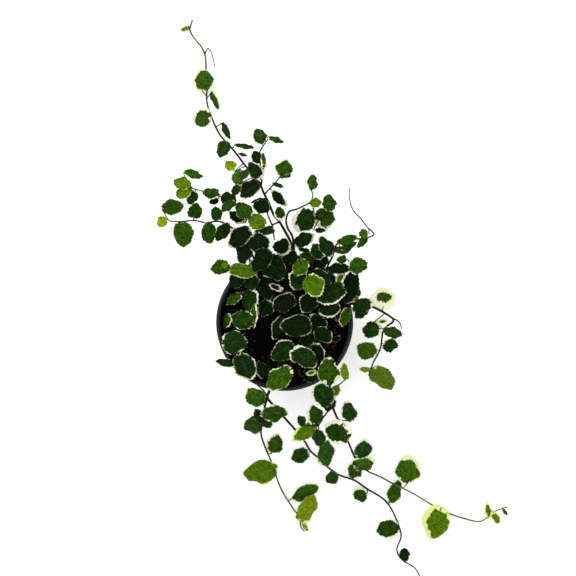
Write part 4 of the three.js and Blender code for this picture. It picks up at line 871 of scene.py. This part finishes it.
def chipMaterial():
    made, tree, shader = newMaterial("bark_chips", Specular_IOR_Level=0.1, Roughness=0.85)
    p = soilPaint
    specks = addSpeckle(tree, p["chipScales"])[1]
    shade = readAttribute(tree, "tone")
    base = p["chips"][0]
    for paler, shades in zip(p["chips"][1:], p["chipShades"]):
        base = blendColours(tree, mapRange(tree, shade, *shades), base, paler)
    base = blendColours(tree, calculate(tree, "MULTIPLY", specks, p["chipDirt"]), base, p["dark"])
    dressShader(tree, shader, base, p["chipBump"], specks)
    return made


def soilTopAt(x, y):
    broad, fine = soilShape["crumbScales"]
    crumbs = (noise.noise((x * broad, y * broad, 3))
              + soilShape["fineCrumb"] * noise.noise((x * fine, y * fine, 9)))
    return soilShape["top"] + soilShape["crumb"] * crumbs


def makeSoil():
    rings, radius, top = soilShape["rings"], soilShape["radius"], soilShape["top"]
    profile = soilShape["profile"] + [(radius * (rings - i) / rings, top) for i in range(rings + 1)]
    bm = spinProfile(profile, soilShape["steps"])
    for vert in bm.verts:
        x, y, z = vert.co / mm
        if z > top - 0.01:
            vert.co.z = soilTopAt(x, y) * mm
    return finishPiece(bm, "potting_soil_dressed", soilMaterial())


def makeChips():    # each a few cut faces, sunk a little in the soil
    rng = random.Random(soilShape["seed"])
    bm = bmesh.new()
    tone = bm.verts.layers.float.new("tone")
    s = soilShape
    for i in range(s["chips"] + s["grit"]):
        bark = i < s["chips"]
        out, angle = s["chipReach"] * math.sqrt(rng.random()), rng.uniform(0, 2 * math.pi)
        x, y = out * math.cos(angle), out * math.sin(angle)
        heaped = rng.random() < s["heaped"]
        if heaped:
            across, up, reach = rng.choice(s["heaps"])
            x, y = rng.gauss(across, reach), rng.gauss(up, reach)
        if math.hypot(x, y) > s["chipReach"]:
            continue
        size = rng.uniform(*s["chipSizes" if bark else "gritSizes"])
        size *= s["heapedSize"] if heaped else 1
        chip = bmesh.ops.create_icosphere(bm, subdivisions=1, radius=size * mm)["verts"]
        if bark:
            shade = rng.random() ** s["heapedShade" if heaped else "barkShade"]
        else:
            shade = rng.uniform(*s["gritShades"])
        for vert in chip:
            vert.co *= rng.uniform(*s["lumps"])
            vert[tone] = shade
        longer = rng.uniform(*s["lengths"]) if bark else 1
        shape = (longer, rng.uniform(*s["widths"]), rng.uniform(*s["heights"]))
        bmesh.ops.scale(bm, verts=chip, vec=shape)
        tilt = s["tilt"]
        turn = Vector((rng.uniform(-tilt, tilt), rng.uniform(-tilt, tilt), 1)).to_track_quat("Z", "Y")
        turn = turn.to_matrix() @ Matrix.Rotation(rng.uniform(0, 2 * math.pi), 3, "Z")
        bmesh.ops.rotate(bm, verts=chip, cent=(0, 0, 0), matrix=turn)
        lift = soilTopAt(x, y) + s["lift"] * size
        bmesh.ops.translate(bm, verts=chip, vec=Vector((x, y, lift)) * mm)
    return finishPiece(bm, "bark_chips", chipMaterial())


soil, chips = makeSoil(), makeChips()
for piece in (soil, chips):
    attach(piece, "root")
    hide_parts("potting_soil")
print("soil filled")

# A white floor and soft light from all round, a little stronger from above.
lightSettings = {"sky": 1.35, "lampPower": 20, "lampSize": 1.6, "lampPlace": (-0.5, 0.6, 1.9),
                 "floorSize": 3, "floorShade": 0.95}


def makeStage():
    bm = bmesh.new()
    bmesh.ops.create_grid(bm, x_segments=1, y_segments=1, size=lightSettings["floorSize"])
    material, _, shader = newMaterial("white_floor", Roughness=0.9, Specular_IOR_Level=0.1)
    shader.inputs["Base Color"].default_value = (*[lightSettings["floorShade"]] * 3, 1)
    finishPiece(bm, "floor", material)
    lamp = bpy.data.lights.new("soft_lamp", "AREA")
    lamp.energy, lamp.size = lightSettings["lampPower"], lightSettings["lampSize"]
    lampObject = bpy.data.objects.new("soft_lamp", lamp)
    lampObject.location = lightSettings["lampPlace"]
    lampObject.rotation_mode = "QUATERNION"
    lampObject.rotation_quaternion = Vector(lightSettings["lampPlace"]).to_track_quat("Z", "Y")
    bpy.context.collection.objects.link(lampObject)
    world = bpy.data.worlds.new("sky")
    world.use_nodes = True
    background = world.node_tree.nodes["Background"].inputs
    background[0].default_value = (1, 1, 1, 1)
    background[1].default_value = lightSettings["sky"]
    scene = bpy.context.scene
    scene.world = world
    scene.view_settings.view_transform = "Standard"
    scene.view_settings.look = "None"


makeStage()
print("stage set")
